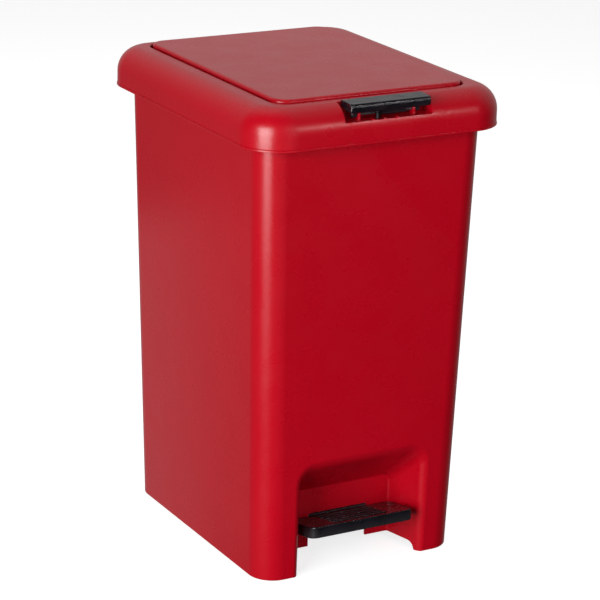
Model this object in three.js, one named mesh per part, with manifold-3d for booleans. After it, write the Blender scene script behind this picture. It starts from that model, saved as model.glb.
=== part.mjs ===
// Household waste bin of about 25 litres, with a foot pedal, a lid that the pedal lifts, a push-latched
// flap in the lid, and a lift-out inner bucket. Millimetres, +Z up, front towards -Y, origin on the floor
// under the middle of the body.
import * as THREE from 'three';
import Module from 'manifold-3d';
import { mergeVertices } from 'three/addons/utils/BufferGeometryUtils.js';

const wasm = await Module();
wasm.setup();

// Driving dimensions of the outer body.
const bodyWidth = 227;
const bodyDepth = 285;
const bodyHeight = 470;
const bodyCorner = 26;
const sideLean = 0.026;
const endLean = 0.0184;
const wall = 2.5;
const rimLip = 4;

// Foot opening at the bottom of the front wall.
const recessTop = 116;
const recessBackTop = 74;
const recessDepth = 47;
const recessSplay = 10;
const recessCorner = 17;
const recessEdge = 3;
const recessFootCut = 8;

// Lid ring, and the flap set into it.
const overhangSide = 15.7;
const overhangEnd = 19.6;
const lidRise = 20;
const skirtDrop = 19.5;
const shoulder = 25;
const lidCorner = 42;
const beadHeight = 2;
const beadOut = 0.6;
const bandSide = 33.2;
const bandFront = 28.5;
const bandRear = 25.7;
const openingCorner = 19.7;
const wellDepth = 9.5;
const ledgeWidth = 4.7;
const flapGap = 2.5;
const flapRise = 3;
const flapEdge = 3;
const flapSwing = 15.3;
const frontProud = 1.7;

// Latch in the lid's front edge.
const latchWidth = 88.6;
const latchSideGap = 4.2;
const pocketFloorDrop = 17;
const pocketDepth = 20.5;
const pocketWall = 2;
const pocketRib = { places: [-18, -5, 9], width: 1.6, height: 1 };
const latchPinRadius = 1.5;
const latchSpringX = -12;
const noseRise = 1.2;
const noseDrop = 7.8;

// Pedal and the linkage that lifts the lid.
const treadWidth = 119;
const treadReach = 5.5;
const treadTilt = 12;
const treadLip = 12;
const pedalTravel = 15;
const pivotBehindRecess = 56;
const pedalPinRadius = 3;
const leverHalfWidth = 15;
const neckHalfWidth = 33;
const neckRise = 1.5;
const leverDepth = 8;
const leverGroundGap = 6;
const rodWidth = 14;
const rodThickness = 5;
const rodWallGap = 13;
const rodFootHeight = 5.5;
const crossPinRadius = 2;
const lidPinRadius = 2;
const flapPinRadius = 2;

// Inner bucket and its handle.
const bucketWall = 2;
const bucketDrop = 8;
const bailRadius = 1.75;

// Clearances.
const touch = 0.3;
const turning = 0.08;
const gapBesideBucket = 4;
const gapBesideTread = 1.5;
const gapBehindTread = 2;
const gapBesideMoving = 1.5;

const cornerSteps = 6;
const pinSides = 16;
const rad = THREE.MathUtils.degToRad;

// Places that follow from the sizes above.
const halfX = (z) => bodyWidth / 2 + sideLean * z;
const halfY = (z) => bodyDepth / 2 + endLean * z;
const lidTop = bodyHeight + lidRise;
const skirtBottom = bodyHeight - skirtDrop;
const lidHalfX = halfX(skirtBottom) + overhangSide;
const lidHalfY = halfY(skirtBottom) + overhangEnd;
const wellHalfX = lidHalfX - bandSide;
const wellFront = -lidHalfY + bandFront;
const wellRear = lidHalfY - bandRear;
const ledgeTop = lidTop - wellDepth;
const flapTop = lidTop + flapRise;
const flapPin = { y: wellRear - flapSwing, z: lidTop - 4 };
const lidAxis = { y: halfY(skirtBottom) + 9.2, z: skirtBottom + 4.7 };

const recessBackWidth = treadWidth + 2 * gapBesideTread;
const recessWidth = recessBackWidth + 2 * recessSplay;
const recessBackY = -halfY(0) + recessDepth;
const rodY = halfY(0) - wall - rodWallGap;
const pivotY = recessBackY + pivotBehindRecess;
const leverReach = rodY - pivotY;
const leverRestAngle = pedalTravel / 2;
const leverSlope = Math.tan(rad(leverRestAngle));
const rodRise = 2 * leverReach * leverSlope;
const padTop = leverGroundGap + leverDepth;
const leverTopOffset = 4;
const pivotZ = padTop - leverTopOffset + leverReach * leverSlope;
const pedalPivot = { y: pivotY, z: pivotZ };
const floorUnder = padTop + rodRise + rodFootHeight + touch + 2;
const floorTop = floorUnder + wall;
const treadSlope = Math.tan(rad(treadTilt));
const treadTopAtPivot = pivotZ - 1.9;
const treadTopAt = (y) => treadTopAtPivot + (pivotY - y) * treadSlope;
const cutoutHalfWidth = neckHalfWidth + 3;
const neckTop = treadTopAt(recessBackY) + neckRise;
const cutoutTop = neckTop + gapBesideMoving;

const crankReach = lidAxis.y - rodY;
const crankAngle = Math.atan(rodRise / 2 / crankReach);
const crossPinZ = lidAxis.z - rodRise / 2;
const crossPin = { y: rodY, z: crossPinZ };
const crankOut = crankReach / Math.cos(crankAngle);

const latchPin = { y: -lidHalfY + 10.2, z: lidTop - 11.8 };
const pocketFloor = lidTop - pocketFloorDrop;
const pocketBack = -lidHalfY + pocketDepth;
const pocketHalfX = latchWidth / 2 + latchSideGap;
const bucketTop = bodyHeight - bucketDrop;
const bucketFloor = floorTop + touch;
const bucketHalfX = (z) => halfX(z) - wall - gapBesideBucket;
const bucketHalfY = (z) => halfY(z) - wall - gapBesideBucket;

// Materials.
const finish = (name, color, roughness, metalness) => (
  new THREE.MeshStandardMaterial({ name, color, roughness, metalness })
);
const plastic = (name, color, roughness) => finish(name, color, roughness, 0);
const metal = (name, color, roughness) => finish(name, color, roughness, 1);
const redPlastic = plastic('red_plastic', 0xa5061c, 0.38);
const blackPlastic = plastic('black_plastic', 0x17161a, 0.4);
const bucketPlastic = plastic('bucket_plastic', 0x26262a, 0.5);
const steel = metal('steel', 0xb9bcc0, 0.35);
const rubber = plastic('rubber', 0x1d1d1f, 0.85);

// A geometry as a solid for joining and cutting. Faces are turned outwards if they point in.
function solid(geometry) {
  const bare = geometry.clone();
  bare.deleteAttribute('normal');
  bare.deleteAttribute('uv');
  const merged = mergeVertices(bare, 1e-4);
  const points = merged.getAttribute('position').array;
  const triangles = Array.from(merged.index.array);
  let volume = 0;
  const corner = (k) => new THREE.Vector3().fromArray(points, triangles[k] * 3);
  for (let k = 0; k < triangles.length; k += 3) {
    volume += corner(k).dot(corner(k + 1).cross(corner(k + 2)));
  }
  if (volume < 0) triangles.reverse();
  const mesh = new wasm.Mesh({
    numProp: 3,
    vertProperties: new Float32Array(points),
    triVerts: new Uint32Array(triangles),
  });
  return new wasm.Manifold(mesh);
}

function geometryOf(manifold) {
  const mesh = manifold.getMesh();
  const geometry = new THREE.BufferGeometry();
  geometry.setAttribute('position', new THREE.BufferAttribute(new Float32Array(mesh.vertProperties), 3));
  geometry.setIndex(Array.from(mesh.triVerts));
  geometry.computeVertexNormals();
  return geometry;
}

function box(x0, x1, y0, y1, z0, z1) {
  const geometry = new THREE.BoxGeometry(x1 - x0, y1 - y0, z1 - z0);
  geometry.translate((x0 + x1) / 2, (y0 + y1) / 2, (z0 + z1) / 2);
  return solid(geometry);
}

// A round bar along X.
function barX(radius, x0, x1, at, sides = pinSides) {
  const geometry = new THREE.CylinderGeometry(radius, radius, x1 - x0, sides);
  geometry.rotateZ(Math.PI / 2);
  geometry.translate((x0 + x1) / 2, at.y, at.z);
  return solid(geometry);
}

// The bore that a bar of this radius turns in: its flats stay clear of the bar's corners.
const boreRadius = (radius) => (radius + turning) / Math.cos(Math.PI / pinSides);

// A side outline, given as [y, z] points, made x1 - x0 wide.
function prismX(outline, x0, x1) {
  const shape = new THREE.Shape(outline.map(([y, z]) => new THREE.Vector2(y, z)));
  const geometry = new THREE.ExtrudeGeometry(shape, { depth: x1 - x0, bevelEnabled: false });
  const alongX = new THREE.Vector3(1, 0, 0);
  const alongY = new THREE.Vector3(0, 1, 0);
  const alongZ = new THREE.Vector3(0, 0, 1);
  geometry.applyMatrix4(new THREE.Matrix4().makeBasis(alongY, alongZ, alongX));
  geometry.translate(x0, 0, 0);
  return solid(geometry);
}

// The same on both sides of the middle, from |x| = near to |x| = far.
const bothSides = (make) => make(1).add(make(-1));
const sideSpan = (side, near, far) => (side > 0 ? [near, far] : [-far, -near]);

// A bar of the given half height between two points seen from the side, with round ends.
function linkX(from, to, halfHeight, x0, x1) {
  const angle = Math.atan2(to.z - from.z, to.y - from.y);
  const outline = [];
  for (const [centre, start] of [[from, angle + Math.PI / 2], [to, angle - Math.PI / 2]]) {
    for (let k = 0; k <= 6; k += 1) {
      const turn = start + (Math.PI * k) / 6;
      outline.push([centre.y + halfHeight * Math.cos(turn), centre.z + halfHeight * Math.sin(turn)]);
    }
  }
  return prismX(outline, x0, x1);
}

// A level rounded rectangle, anticlockwise from above.
function level(halfWidth, front, rear, radius, z, steps = cornerSteps) {
  const points = [];
  const corners = [[halfWidth - radius, rear - radius, 0], [radius - halfWidth, rear - radius, 90],
    [radius - halfWidth, front + radius, 180], [halfWidth - radius, front + radius, 270]];
  for (const [x, y, start] of corners) {
    for (let k = 0; k <= steps; k += 1) {
      const turn = rad(start + (90 * k) / steps);
      points.push(new THREE.Vector3(x + radius * Math.cos(turn), y + radius * Math.sin(turn), z));
    }
  }
  return points;
}

// A skin over a row of outlines. Its ends are closed flat, or joined to each other.
function loft(rows, joined = false) {
  const count = rows[0].length;
  const points = rows.flat();
  const triangles = [];
  const last = joined ? rows.length : rows.length - 1;
  for (let row = 0; row < last; row += 1) {
    const below = row * count;
    const above = ((row + 1) % rows.length) * count;
    for (let k = 0; k < count; k += 1) {
      const next = (k + 1) % count;
      triangles.push(below + k, below + next, above + next, below + k, above + next, above + k);
    }
  }
  if (!joined) {
    for (const [row, flip] of [[0, true], [rows.length - 1, false]]) {
      const sum = rows[row].reduce((total, point) => total.add(point), new THREE.Vector3());
      points.push(sum.divideScalar(count));
      for (let k = 0; k < count; k += 1) {
        const edge = [row * count + k, row * count + ((k + 1) % count)];
        triangles.push(points.length - 1, ...(flip ? edge.reverse() : edge));
      }
    }
  }
  const geometry = new THREE.BufferGeometry();
  geometry.setAttribute('position', new THREE.Float32BufferAttribute(points.flatMap((p) => p.toArray()), 3));
  geometry.setIndex(triangles);
  return solid(geometry);
}

function bodyLevel(z, inset) {
  return level(halfX(z) - inset, inset - halfY(z), halfY(z) - inset, bodyCorner - inset, z);
}

// The space of the foot opening, or with grow the outside of the walls round it.
function recessSpace(grow) {
  const rows = [];
  const row = (y, halfWidth, top, radius) => {
    const points = [];
    for (const [side, start] of [[1, 0], [-1, 90]]) {
      if (side > 0) points.push(new THREE.Vector3(halfWidth, y, -10));
      for (let k = 0; k <= cornerSteps; k += 1) {
        const turn = rad(start + (90 * k) / cornerSteps);
        const x = side * (halfWidth - radius) + radius * Math.cos(turn);
        points.push(new THREE.Vector3(x, y, top - radius + radius * Math.sin(turn)));
      }
      if (side < 0) points.push(new THREE.Vector3(-halfWidth, y, -10));
    }
    rows.push(points);
  };
  const frontY = -halfY(recessTop);
  const depth = recessBackY - frontY;
  const widthAt = (y) => recessWidth / 2 + ((recessBackWidth - recessWidth) / 2) * ((y - frontY) / depth);
  const topAt = (y) => recessTop + (recessBackTop - recessTop) * ((y - frontY) / depth);
  const flare = grow > 0 ? 0 : recessEdge;
  row(frontY - 10, widthAt(frontY) + flare + grow, topAt(frontY) + flare + grow, recessCorner + flare);
  for (let k = 0; k <= 3; k += 1) {
    const turn = rad(30 * k);
    const out = flare * (1 - Math.sin(turn)) + grow;
    const y = frontY + recessEdge * (1 - Math.cos(turn)) + 0.5 * k;
    row(y, widthAt(y) + out, topAt(y) + out * 1.3, recessCorner + out);
  }
  row(recessBackY + grow, widthAt(recessBackY) + grow, recessBackTop + grow, 9 + grow);
  return loft(rows);
}

const lugRadius = 4.3;
const hingeHumpHalf = 86;
const bodyLug = { near: 66, far: 72 };
const lidLugs = [{ near: 59.5, far: 64.5 }, { near: 73.5, far: 78.5 }];
const forkNotchHalf = 16;
const forkPlate = { near: rodWidth / 2 + gapBesideMoving, far: rodWidth / 2 + gapBesideMoving + 3 };

function makeBinBody() {
  const rimUnder = bodyHeight - wall;
  const outside = loft([bodyLevel(0, 0), bodyLevel(rimUnder, 0), bodyLevel(rimUnder, -rimLip),
    bodyLevel(bodyHeight, -rimLip)]);
  const recessWalls = recessSpace(wall);
  const inside = loft([bodyLevel(floorTop, wall), bodyLevel(bodyHeight + 1, wall)]).subtract(recessWalls);
  const under = loft([bodyLevel(-1, wall), bodyLevel(floorUnder, wall)]).subtract(recessWalls);
  const cutRear = recessBackY + 2 * wall;
  const footOutline = [[cutRear, -1], [cutRear, recessFootCut], [recessBackY - 30, recessFootCut],
    [recessBackY - 38, recessFootCut * 0.6], [recessBackY - 41, -1]];
  const footCut = prismX(footOutline, -recessWidth / 2 - 1, recessWidth / 2 + 1);
  const neckCut = box(-cutoutHalfWidth, cutoutHalfWidth, recessBackY - 1, cutRear, -1, cutoutTop);
  const slotX = rodWidth / 2 + 1;
  const slotY = rodThickness / 2 + 1;
  const rodSlot = box(-slotX, slotX, rodY - slotY, rodY + slotY, floorUnder - 1, floorTop + 1);
  const notchFront = halfY(0) - 2 * wall;
  const forkNotch = box(-forkNotchHalf, forkNotchHalf, notchFront, lidAxis.y, crossPinZ + 3, bodyHeight + 1);
  let body = outside.subtract(inside).subtract(under).subtract(recessSpace(0)).subtract(footCut)
    .subtract(neckCut).subtract(rodSlot).subtract(forkNotch);
  const lugRoot = { y: halfY(lidAxis.z) - wall / 2 - 1, z: lidAxis.z };
  const lug = (side) => linkX(lugRoot, lidAxis, lugRadius, ...sideSpan(side, bodyLug.near, bodyLug.far));
  const lugs = bothSides(lug);
  const spill = loft([bodyLevel(floorTop, wall), bodyLevel(bodyHeight + 1, wall)]);
  body = body.add(lugs.subtract(spill));
  return body.subtract(barX(boreRadius(lidPinRadius), -100, 100, lidAxis));
}

function lidLevel(inset, z) {
  const radius = Math.max(lidCorner - inset, 10);
  return level(lidHalfX - inset, inset - lidHalfY, lidHalfY - inset, radius, z);
}

function wellLevel(inset, z) {
  return level(wellHalfX - inset, wellFront + inset, wellRear - inset, openingCorner - inset, z);
}

// The rounded shoulder between the skirt and the top, from the outside or with inset from the inside.
function shoulderLevels(inset) {
  const rows = [];
  for (let k = 0; k <= 7; k += 1) {
    const turn = rad((90 * k) / 7);
    const out = (shoulder - inset) * Math.cos(turn);
    rows.push(lidLevel(shoulder - out, lidTop - shoulder + (shoulder - inset) * Math.sin(turn)));
  }
  return rows;
}

const bufferSpot = { x: halfX(bodyHeight) + (rimLip - wall) / 2, y: wellFront + 45 };
const bufferTop = bodyHeight + 8;

function makeLidRing() {
  const beadTop = skirtBottom + beadHeight;
  const skin = loft([lidLevel(-beadOut, skirtBottom), lidLevel(-beadOut, beadTop), lidLevel(0, beadTop + 0.4),
    ...shoulderLevels(0), wellLevel(-1.5, lidTop), wellLevel(-0.4, lidTop - 0.4), wellLevel(0, lidTop - 1.5),
    wellLevel(0, ledgeTop), wellLevel(ledgeWidth, ledgeTop), wellLevel(ledgeWidth, ledgeTop - wall),
    wellLevel(-wall, ledgeTop - wall), wellLevel(-wall, lidTop - wall),
    ...shoulderLevels(wall).reverse(), lidLevel(wall, skirtBottom)], true);
  const filled = loft([lidLevel(0, skirtBottom), ...shoulderLevels(0)]);
  const well = (inset, z0, z1) => loft([wellLevel(inset, z0), wellLevel(inset, z1)]);
  const pocketX = pocketHalfX + pocketWall;
  const pocketUnder = pocketFloor - pocketWall;
  const pocketOutside = box(-pocketX, pocketX, -lidHalfY, pocketBack + pocketWall, pocketUnder, lidTop);
  const pocket = box(-pocketHalfX, pocketHalfX, -lidHalfY - 10, pocketBack, pocketFloor, lidTop + 5);
  let ring = skin.add(pocketOutside.intersect(filled)).subtract(pocket);

  const earRoot = { y: latchPin.y, z: pocketFloor - 1 };
  const ear = (side) => linkX(earRoot, latchPin, 3, ...sideSpan(side, pocketEar.near, pocketEar.far));
  ring = ring.add(bothSides(ear));
  const ribTop = pocketFloor + pocketRib.height;
  for (const x of pocketRib.places) {
    const rib = box(x, x + pocketRib.width, -lidHalfY, latchPin.y - 4, pocketFloor - 1, ribTop);
    ring = ring.add(rib.intersect(filled));
  }
  ring = ring.subtract(barX(boreRadius(latchPinRadius), -latchPinHalf, latchPinHalf, latchPin));
  const slotX = hookHalfWidth + 3;
  const hookSlot = box(-slotX, slotX, pocketBack - 1, wellFront + 1, hookLow - 1.5, lidTop - 1.7);
  ring = ring.subtract(hookSlot);

  const rearLedge = well(0.01, ledgeTop - wall - 1, ledgeTop + 0.01)
    .intersect(box(-lidHalfX, lidHalfX, flapPin.y - 14, lidHalfY, 0, lidTop));
  ring = ring.subtract(rearLedge);
  ring = ring.subtract(barX(boreRadius(flapPinRadius), -flapPinFar, flapPinFar, flapPin));

  const skirtInner = { y: lidHalfY - wall / 2, z: lidAxis.z };
  for (const { near, far } of lidLugs) {
    const lug = (side) => linkX(skirtInner, lidAxis, lugRadius, ...sideSpan(side, near, far));
    ring = ring.add(bothSides(lug).intersect(filled));
  }
  ring = ring.subtract(barX(boreRadius(lidPinRadius), -lidPinFar, lidPinFar, lidAxis));

  const humpRoot = lidHalfY - wall / 2;
  const humpBack = lidHalfY + frontProud;
  const hump = prismX([[humpRoot, skirtBottom], [humpBack - 0.4, skirtBottom], [humpBack, skirtBottom + 1],
    [humpBack, lidTop - shoulder - 2], [humpRoot, lidTop - shoulder + 2]], -hingeHumpHalf, hingeHumpHalf);
  ring = ring.add(hump);

  const boss = (side) => {
    const geometry = new THREE.CylinderGeometry(4.5, 4.5, lidTop - bufferTop, pinSides);
    geometry.rotateX(Math.PI / 2);
    geometry.translate(side * bufferSpot.x, bufferSpot.y, (lidTop + bufferTop) / 2);
    return solid(geometry);
  };
  return ring.add(bothSides(boss).intersect(filled));
}

const flapEar = { near: 25, far: 28 };
const flapPinFar = wellHalfX + wall - 0.2;
const flapPinNear = wellHalfX - flapGap - flapEar.far - 1;

function makeLidFlap() {
  const flapLevel = (inset, z) => wellLevel(flapGap + inset, z);
  const bottom = ledgeTop + touch;
  const rows = [flapLevel(0, bottom)];
  for (let k = 0; k <= 4; k += 1) {
    const turn = rad((90 * k) / 4);
    rows.push(flapLevel(flapEdge * (1 - Math.cos(turn)), flapTop - flapEdge + flapEdge * Math.sin(turn)));
  }
  const shell = loft(rows).subtract(loft([flapLevel(wall, bottom - 1), flapLevel(wall, flapTop - wall)]));
  const outerX = wellHalfX - flapGap;
  const earRoot = { y: flapPin.y, z: flapTop - wall };
  const earBetween = (near, far) => (
    bothSides((side) => linkX(earRoot, flapPin, 4, ...sideSpan(side, near, far)))
  );
  const innerEars = earBetween(outerX - flapEar.far, outerX - flapEar.near);
  const outerEars = earBetween(outerX - openingCorner / 2, outerX);
  let flap = shell.add(innerEars.add(outerEars).intersect(loft(rows)));
  flap = flap.subtract(barX(boreRadius(flapPinRadius), -flapPinFar, flapPinFar, flapPin));
  const windowX = hookHalfWidth + 1.5;
  const windowRear = wellFront + flapGap + wall + 1;
  const windowTop = hookLow + hookThickness + 0.8;
  const catchWindow = box(-windowX, windowX, wellFront, windowRear, hookLow - 0.6, windowTop);
  return flap.subtract(catchWindow);
}

const pocketEar = { near: 29, far: 32 };
const latchEar = { near: pocketEar.far + 0.8, far: pocketEar.far + 4.8 };
const latchHub = { left: -9, right: 22 };
const latchPinHalf = latchEar.far + 0.7;
const hookHalfWidth = 9;
const hookLow = ledgeTop + 1.9;
const hookThickness = 2.4;

function makeLatch() {
  const front = -lidHalfY - frontProud;
  const half = latchWidth / 2;
  const noseTop = lidTop + noseRise;
  const noseUnder = lidTop - noseDrop;
  const bar = prismX([[front, noseUnder + 1.4], [front, noseTop - 1.4], [front + 0.5, noseTop - 0.6],
    [front + 1.6, noseTop], [pocketBack - 2, lidTop + 1.6], [pocketBack - 1.2, lidTop + 1.2],
    [pocketBack - 1.2, lidTop - 0.9], [front + 6, lidTop - 2.8], [front + 5, noseUnder + 0.4],
    [front + 1.2, noseUnder]], -half, half);
  const cheekOutline = [[front + 1.2, noseUnder], [front + 5, noseUnder], [front + 13, lidTop - 6],
    [pocketBack - 2, lidTop - 3], [pocketBack - 2, lidTop + 0.5], [front + 3, lidTop - 1]];
  const cheeks = bothSides((side) => prismX(cheekOutline, ...sideSpan(side, half - 2, half)));
  const hubTop = { y: latchPin.y, z: lidTop - 2 };
  const hub = (x0, x1) => linkX(hubTop, latchPin, 3, x0, x1);
  const ears = bothSides((side) => hub(...sideSpan(side, latchEar.near, latchEar.far)))
    .add(hub(latchHub.left, latchHub.right));
  const hookTip = wellFront + flapGap - 0.4;
  const hookTop = hookLow + hookThickness;
  const hookOutline = [[latchPin.y + 3, lidTop - 0.5], [latchPin.y + 3, hookLow], [hookTip, hookLow],
    [hookTip, hookTop], [pocketBack - 1.4, hookTop], [pocketBack - 1.4, lidTop - 0.5]];
  const hook = prismX(hookOutline, -hookHalfWidth, hookHalfWidth);
  const bore = barX(boreRadius(latchPinRadius), -latchPinHalf, latchPinHalf, latchPin);
  return bar.add(cheeks).add(ears).add(hook).subtract(bore);
}

// A round wire wound along a path, its ends closed.
function coil(path, radius, steps) {
  const section = new THREE.Shape();
  section.absarc(0, 0, radius, 0, 2 * Math.PI, false);
  return new THREE.ExtrudeGeometry(section, {
    steps,
    bevelEnabled: false,
    extrudePath: path,
    curveSegments: 3,
  });
}

// A round wire bent through level points, with a mitre at each of them.
function bentWire(points, radius, z, sides = 8) {
  const rows = points.map((point, k) => {
    const before = point.clone().sub(points[Math.max(k - 1, 0)]).normalize();
    const after = points[Math.min(k + 1, points.length - 1)].clone().sub(point).normalize();
    const along = before.clone().add(after).normalize();
    const stretch = 1 / Math.max(along.dot(k === 0 ? after : before), 0.5);
    const row = [];
    for (let n = 0; n < sides; n += 1) {
      const turn = (2 * Math.PI * n) / sides;
      const across = radius * stretch * Math.cos(turn);
      const up = radius * Math.sin(turn);
      row.push(new THREE.Vector3(point.x + along.y * across, point.y - along.x * across, z + up));
    }
    return row;
  });
  return loft(rows);
}

class Helix extends THREE.Curve {
  constructor(radius, turns, length, axis) {
    super();
    Object.assign(this, { radius, turns, length, axis });
  }

  getPoint(t, target = new THREE.Vector3()) {
    const turn = 2 * Math.PI * this.turns * t;
    const [a, b, c] = [this.radius * Math.cos(turn), this.radius * Math.sin(turn), this.length * t];
    return this.axis === 'x' ? target.set(c, a, b) : target.set(a, b, c);
  }
}

const springWire = 0.5;

function makeLatchSpring() {
  const low = pocketFloor + springWire + touch;
  const high = lidTop - noseDrop - springWire - touch;
  const geometry = coil(new Helix(2.4, 4, high - low, 'z'), springWire, 48);
  geometry.translate(latchSpringX, -lidHalfY + 3.2, low);
  return geometry;
}

function makeFlapSpring(side) {
  const near = wellHalfX - flapGap - flapEar.near + springWire + touch;
  const far = near + 6;
  const geometry = coil(new Helix(flapPinRadius + 0.5 + springWire, 4, far - near, 'x'), springWire, 48);
  geometry.translate(near, flapPin.y, flapPin.z);
  return side > 0 ? geometry : geometry.rotateZ(Math.PI).translate(0, 2 * flapPin.y, 0);
}

function makeTread() {
  const front = -halfY(treadTopAt(-halfY(0))) - treadReach;
  const rear = recessBackY - gapBehindTread;
  const half = treadWidth / 2;
  const top = 3;
  const plateLength = rear - front;
  const outer = loft([level(half, 0, plateLength, 5, -treadLip), level(half, 0, plateLength, 5, -1),
    level(half - 0.3, 0.3, plateLength - 0.3, 4.7, -0.3), level(half - 1, 1, plateLength - 1, 4, 0)]);
  const hollow = loft([level(half - top, top, plateLength + 10, 2, -treadLip - 1),
    level(half - top, top, plateLength + 10, 2, -top)]);
  const heelOutline = [[plateLength * 0.3, -treadLip - 5], [plateLength + 1, -treadLip - 5],
    [plateLength + 1, -top - 1.5]];
  const heel = prismX(heelOutline, -half - 1, half + 1);
  let tread = outer.subtract(hollow).subtract(heel);
  for (let k = 0; k < 5; k += 1) {
    const y = 8 + k * 8;
    tread = tread.add(loft([level(31, y, y + 2.4, 1.1, -1), level(31, y, y + 2.4, 1.1, 0.6),
      level(30.5, y + 0.5, y + 1.9, 0.6, 1.1)]));
  }
  const geometry = geometryOf(tread);
  geometry.applyMatrix4(new THREE.Matrix4().makeShear(0, 0, 0, -treadSlope, 0, 0));
  geometry.translate(0, front, treadTopAt(front));
  return geometry;
}

function makeLever() {
  const topLine = (y) => pivotZ + leverTopOffset - (y - pivotY) * leverSlope;
  const frontY = recessBackY - 32;
  const underTread = (y) => treadTopAt(y) - 3 - touch - 0.4;
  const rearY = rodY + 9;
  const side = [[frontY, underTread(frontY)], [recessBackY + 4, underTread(recessBackY + 4)],
    [pivotY - 6, topLine(pivotY)], [rearY, topLine(rearY)], [rearY, topLine(rearY) - leverDepth],
    [pivotY, pivotZ - 9], [recessBackY, underTread(recessBackY) - 9], [frontY, underTread(frontY) - 5]];
  const lowered = side.map(([y, z], k) => [y, k < 4 ? z - 3 : z - 20]);
  const beam = prismX(side, -leverHalfWidth, leverHalfWidth)
    .subtract(prismX(lowered, 3 - leverHalfWidth, leverHalfWidth - 3));
  const neckLine = (y, drop) => [y, underTread(y) - drop];
  const neckRear = recessBackY + 12;
  const neckOutline = [neckLine(frontY, 0), neckLine(neckRear, 0),
    neckLine(neckRear, 4), neckLine(frontY, 4)];
  const neck = prismX(neckOutline, -neckHalfWidth, neckHalfWidth);
  const treadRear = recessBackY - gapBehindTread;
  const throatOutline = [[treadRear + 0.5, underTread(treadRear) - 2], [treadRear + 0.5, neckTop - 1],
    [treadRear + 1.5, neckTop], [recessBackY + 6, neckTop], [pivotY - 8, pivotZ + 5],
    [pivotY - 8, pivotZ + 1], [recessBackY + 6, neckTop - 4], [recessBackY + 6, underTread(recessBackY) - 4]];
  const throat = prismX(throatOutline, -neckHalfWidth, neckHalfWidth);
  const hub = barX(7, -neckHalfWidth, neckHalfWidth, pedalPivot);
  const padFront = rodY - 9;
  const padOutline = [[padFront, topLine(padFront)], [rearY, topLine(rearY)], [rearY, topLine(rearY) - 3],
    [padFront, topLine(padFront) - 3]];
  const pad = prismX(padOutline, -leverHalfWidth, leverHalfWidth);
  const lever = beam.add(neck).add(throat).add(hub).add(pad);
  return lever.subtract(barX(boreRadius(pedalPinRadius), -100, 100, pedalPivot));
}

const bearing = { near: neckHalfWidth + gapBesideMoving, far: neckHalfWidth + gapBesideMoving + 9 };

function makePedalBearing(side) {
  const [x0, x1] = sideSpan(side, bearing.near, bearing.far);
  const block = box(x0, x1, pivotY - 10, pivotY + 10, pivotZ, floorUnder - touch);
  const foot = linkX({ y: pivotY - 3, z: pivotZ }, { y: pivotY + 3, z: pivotZ }, 7, x0, x1);
  const flange = box(x0 - 5, x1 + 5, pivotY - 10, pivotY + 10, floorUnder - touch - 4, floorUnder - touch);
  return block.add(foot).add(flange).subtract(barX(boreRadius(pedalPinRadius), -100, 100, pedalPivot));
}

function makePushRod() {
  const half = rodThickness / 2;
  const low = padTop + touch;
  const blade = box(-rodWidth / 2, rodWidth / 2, rodY - half, rodY + half, low + 2, crossPinZ + 4.5);
  const footZ = low + rodFootHeight / 2;
  const foot = linkX({ y: rodY - 0.6, z: footZ }, { y: rodY + 0.6, z: footZ }, rodFootHeight / 2, -12, 12);
  return blade.add(foot).subtract(barX(crossPinRadius + touch, -20, 20, crossPin));
}

function makeRodGuide(z) {
  const half = rodWidth / 2;
  const slotY = rodThickness / 2 + 0.6;
  const rear = halfY(z - 8) - wall - touch;
  const block = box(-half - 5, half + 5, rodY - rodThickness / 2 - 5, rear, z - 8, z + 8);
  return block.subtract(box(-half - 0.6, half + 0.6, rodY - slotY, rodY + slotY, z - 10, z + 10));
}

const coverFront = rodY - 13;
const coverHalf = rodWidth / 2 + 11.8;

function makeRodCover() {
  const rear = halfY(floorTop) - wall - touch;
  const top = crossPinZ - 15;
  const shell = 1.8;
  const outer = box(-coverHalf, coverHalf, coverFront, rear, floorTop + touch, top);
  const insideX = coverHalf - shell;
  const inside = box(-insideX, insideX, coverFront + shell, rear + 1, floorTop - 1, top + 1);
  return outer.subtract(inside);
}

function makeLiftFork() {
  const along = (reach) => ({
    y: lidAxis.y - reach * Math.cos(crankAngle),
    z: lidAxis.z - reach * Math.sin(crankAngle),
  });
  const slotHalf = crossPinRadius + 1.3;
  const slotFrom = along(crankReach - 1);
  const slotTo = along(crankOut + 1);
  const plateSpan = (side) => sideSpan(side, forkPlate.near, forkPlate.far);
  const plate = (side) => linkX(lidAxis, slotTo, slotHalf + 3, ...plateSpan(side));
  const rear = lidHalfY - wall - touch;
  const base = box(-forkPlate.far, forkPlate.far, lidAxis.y - 4, rear, lidAxis.z - 4, lidTop - shoulder);
  const slot = linkX(slotFrom, slotTo, slotHalf, -forkPlate.far - 1, forkPlate.far + 1);
  return bothSides(plate).add(base).subtract(slot);
}

const grooveHalf = coverHalf + 2.7;
const grooveFront = coverFront - 3;
const bailAxis = { y: 0, z: bucketTop + 3.5 };
const bailEar = 5;

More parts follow.
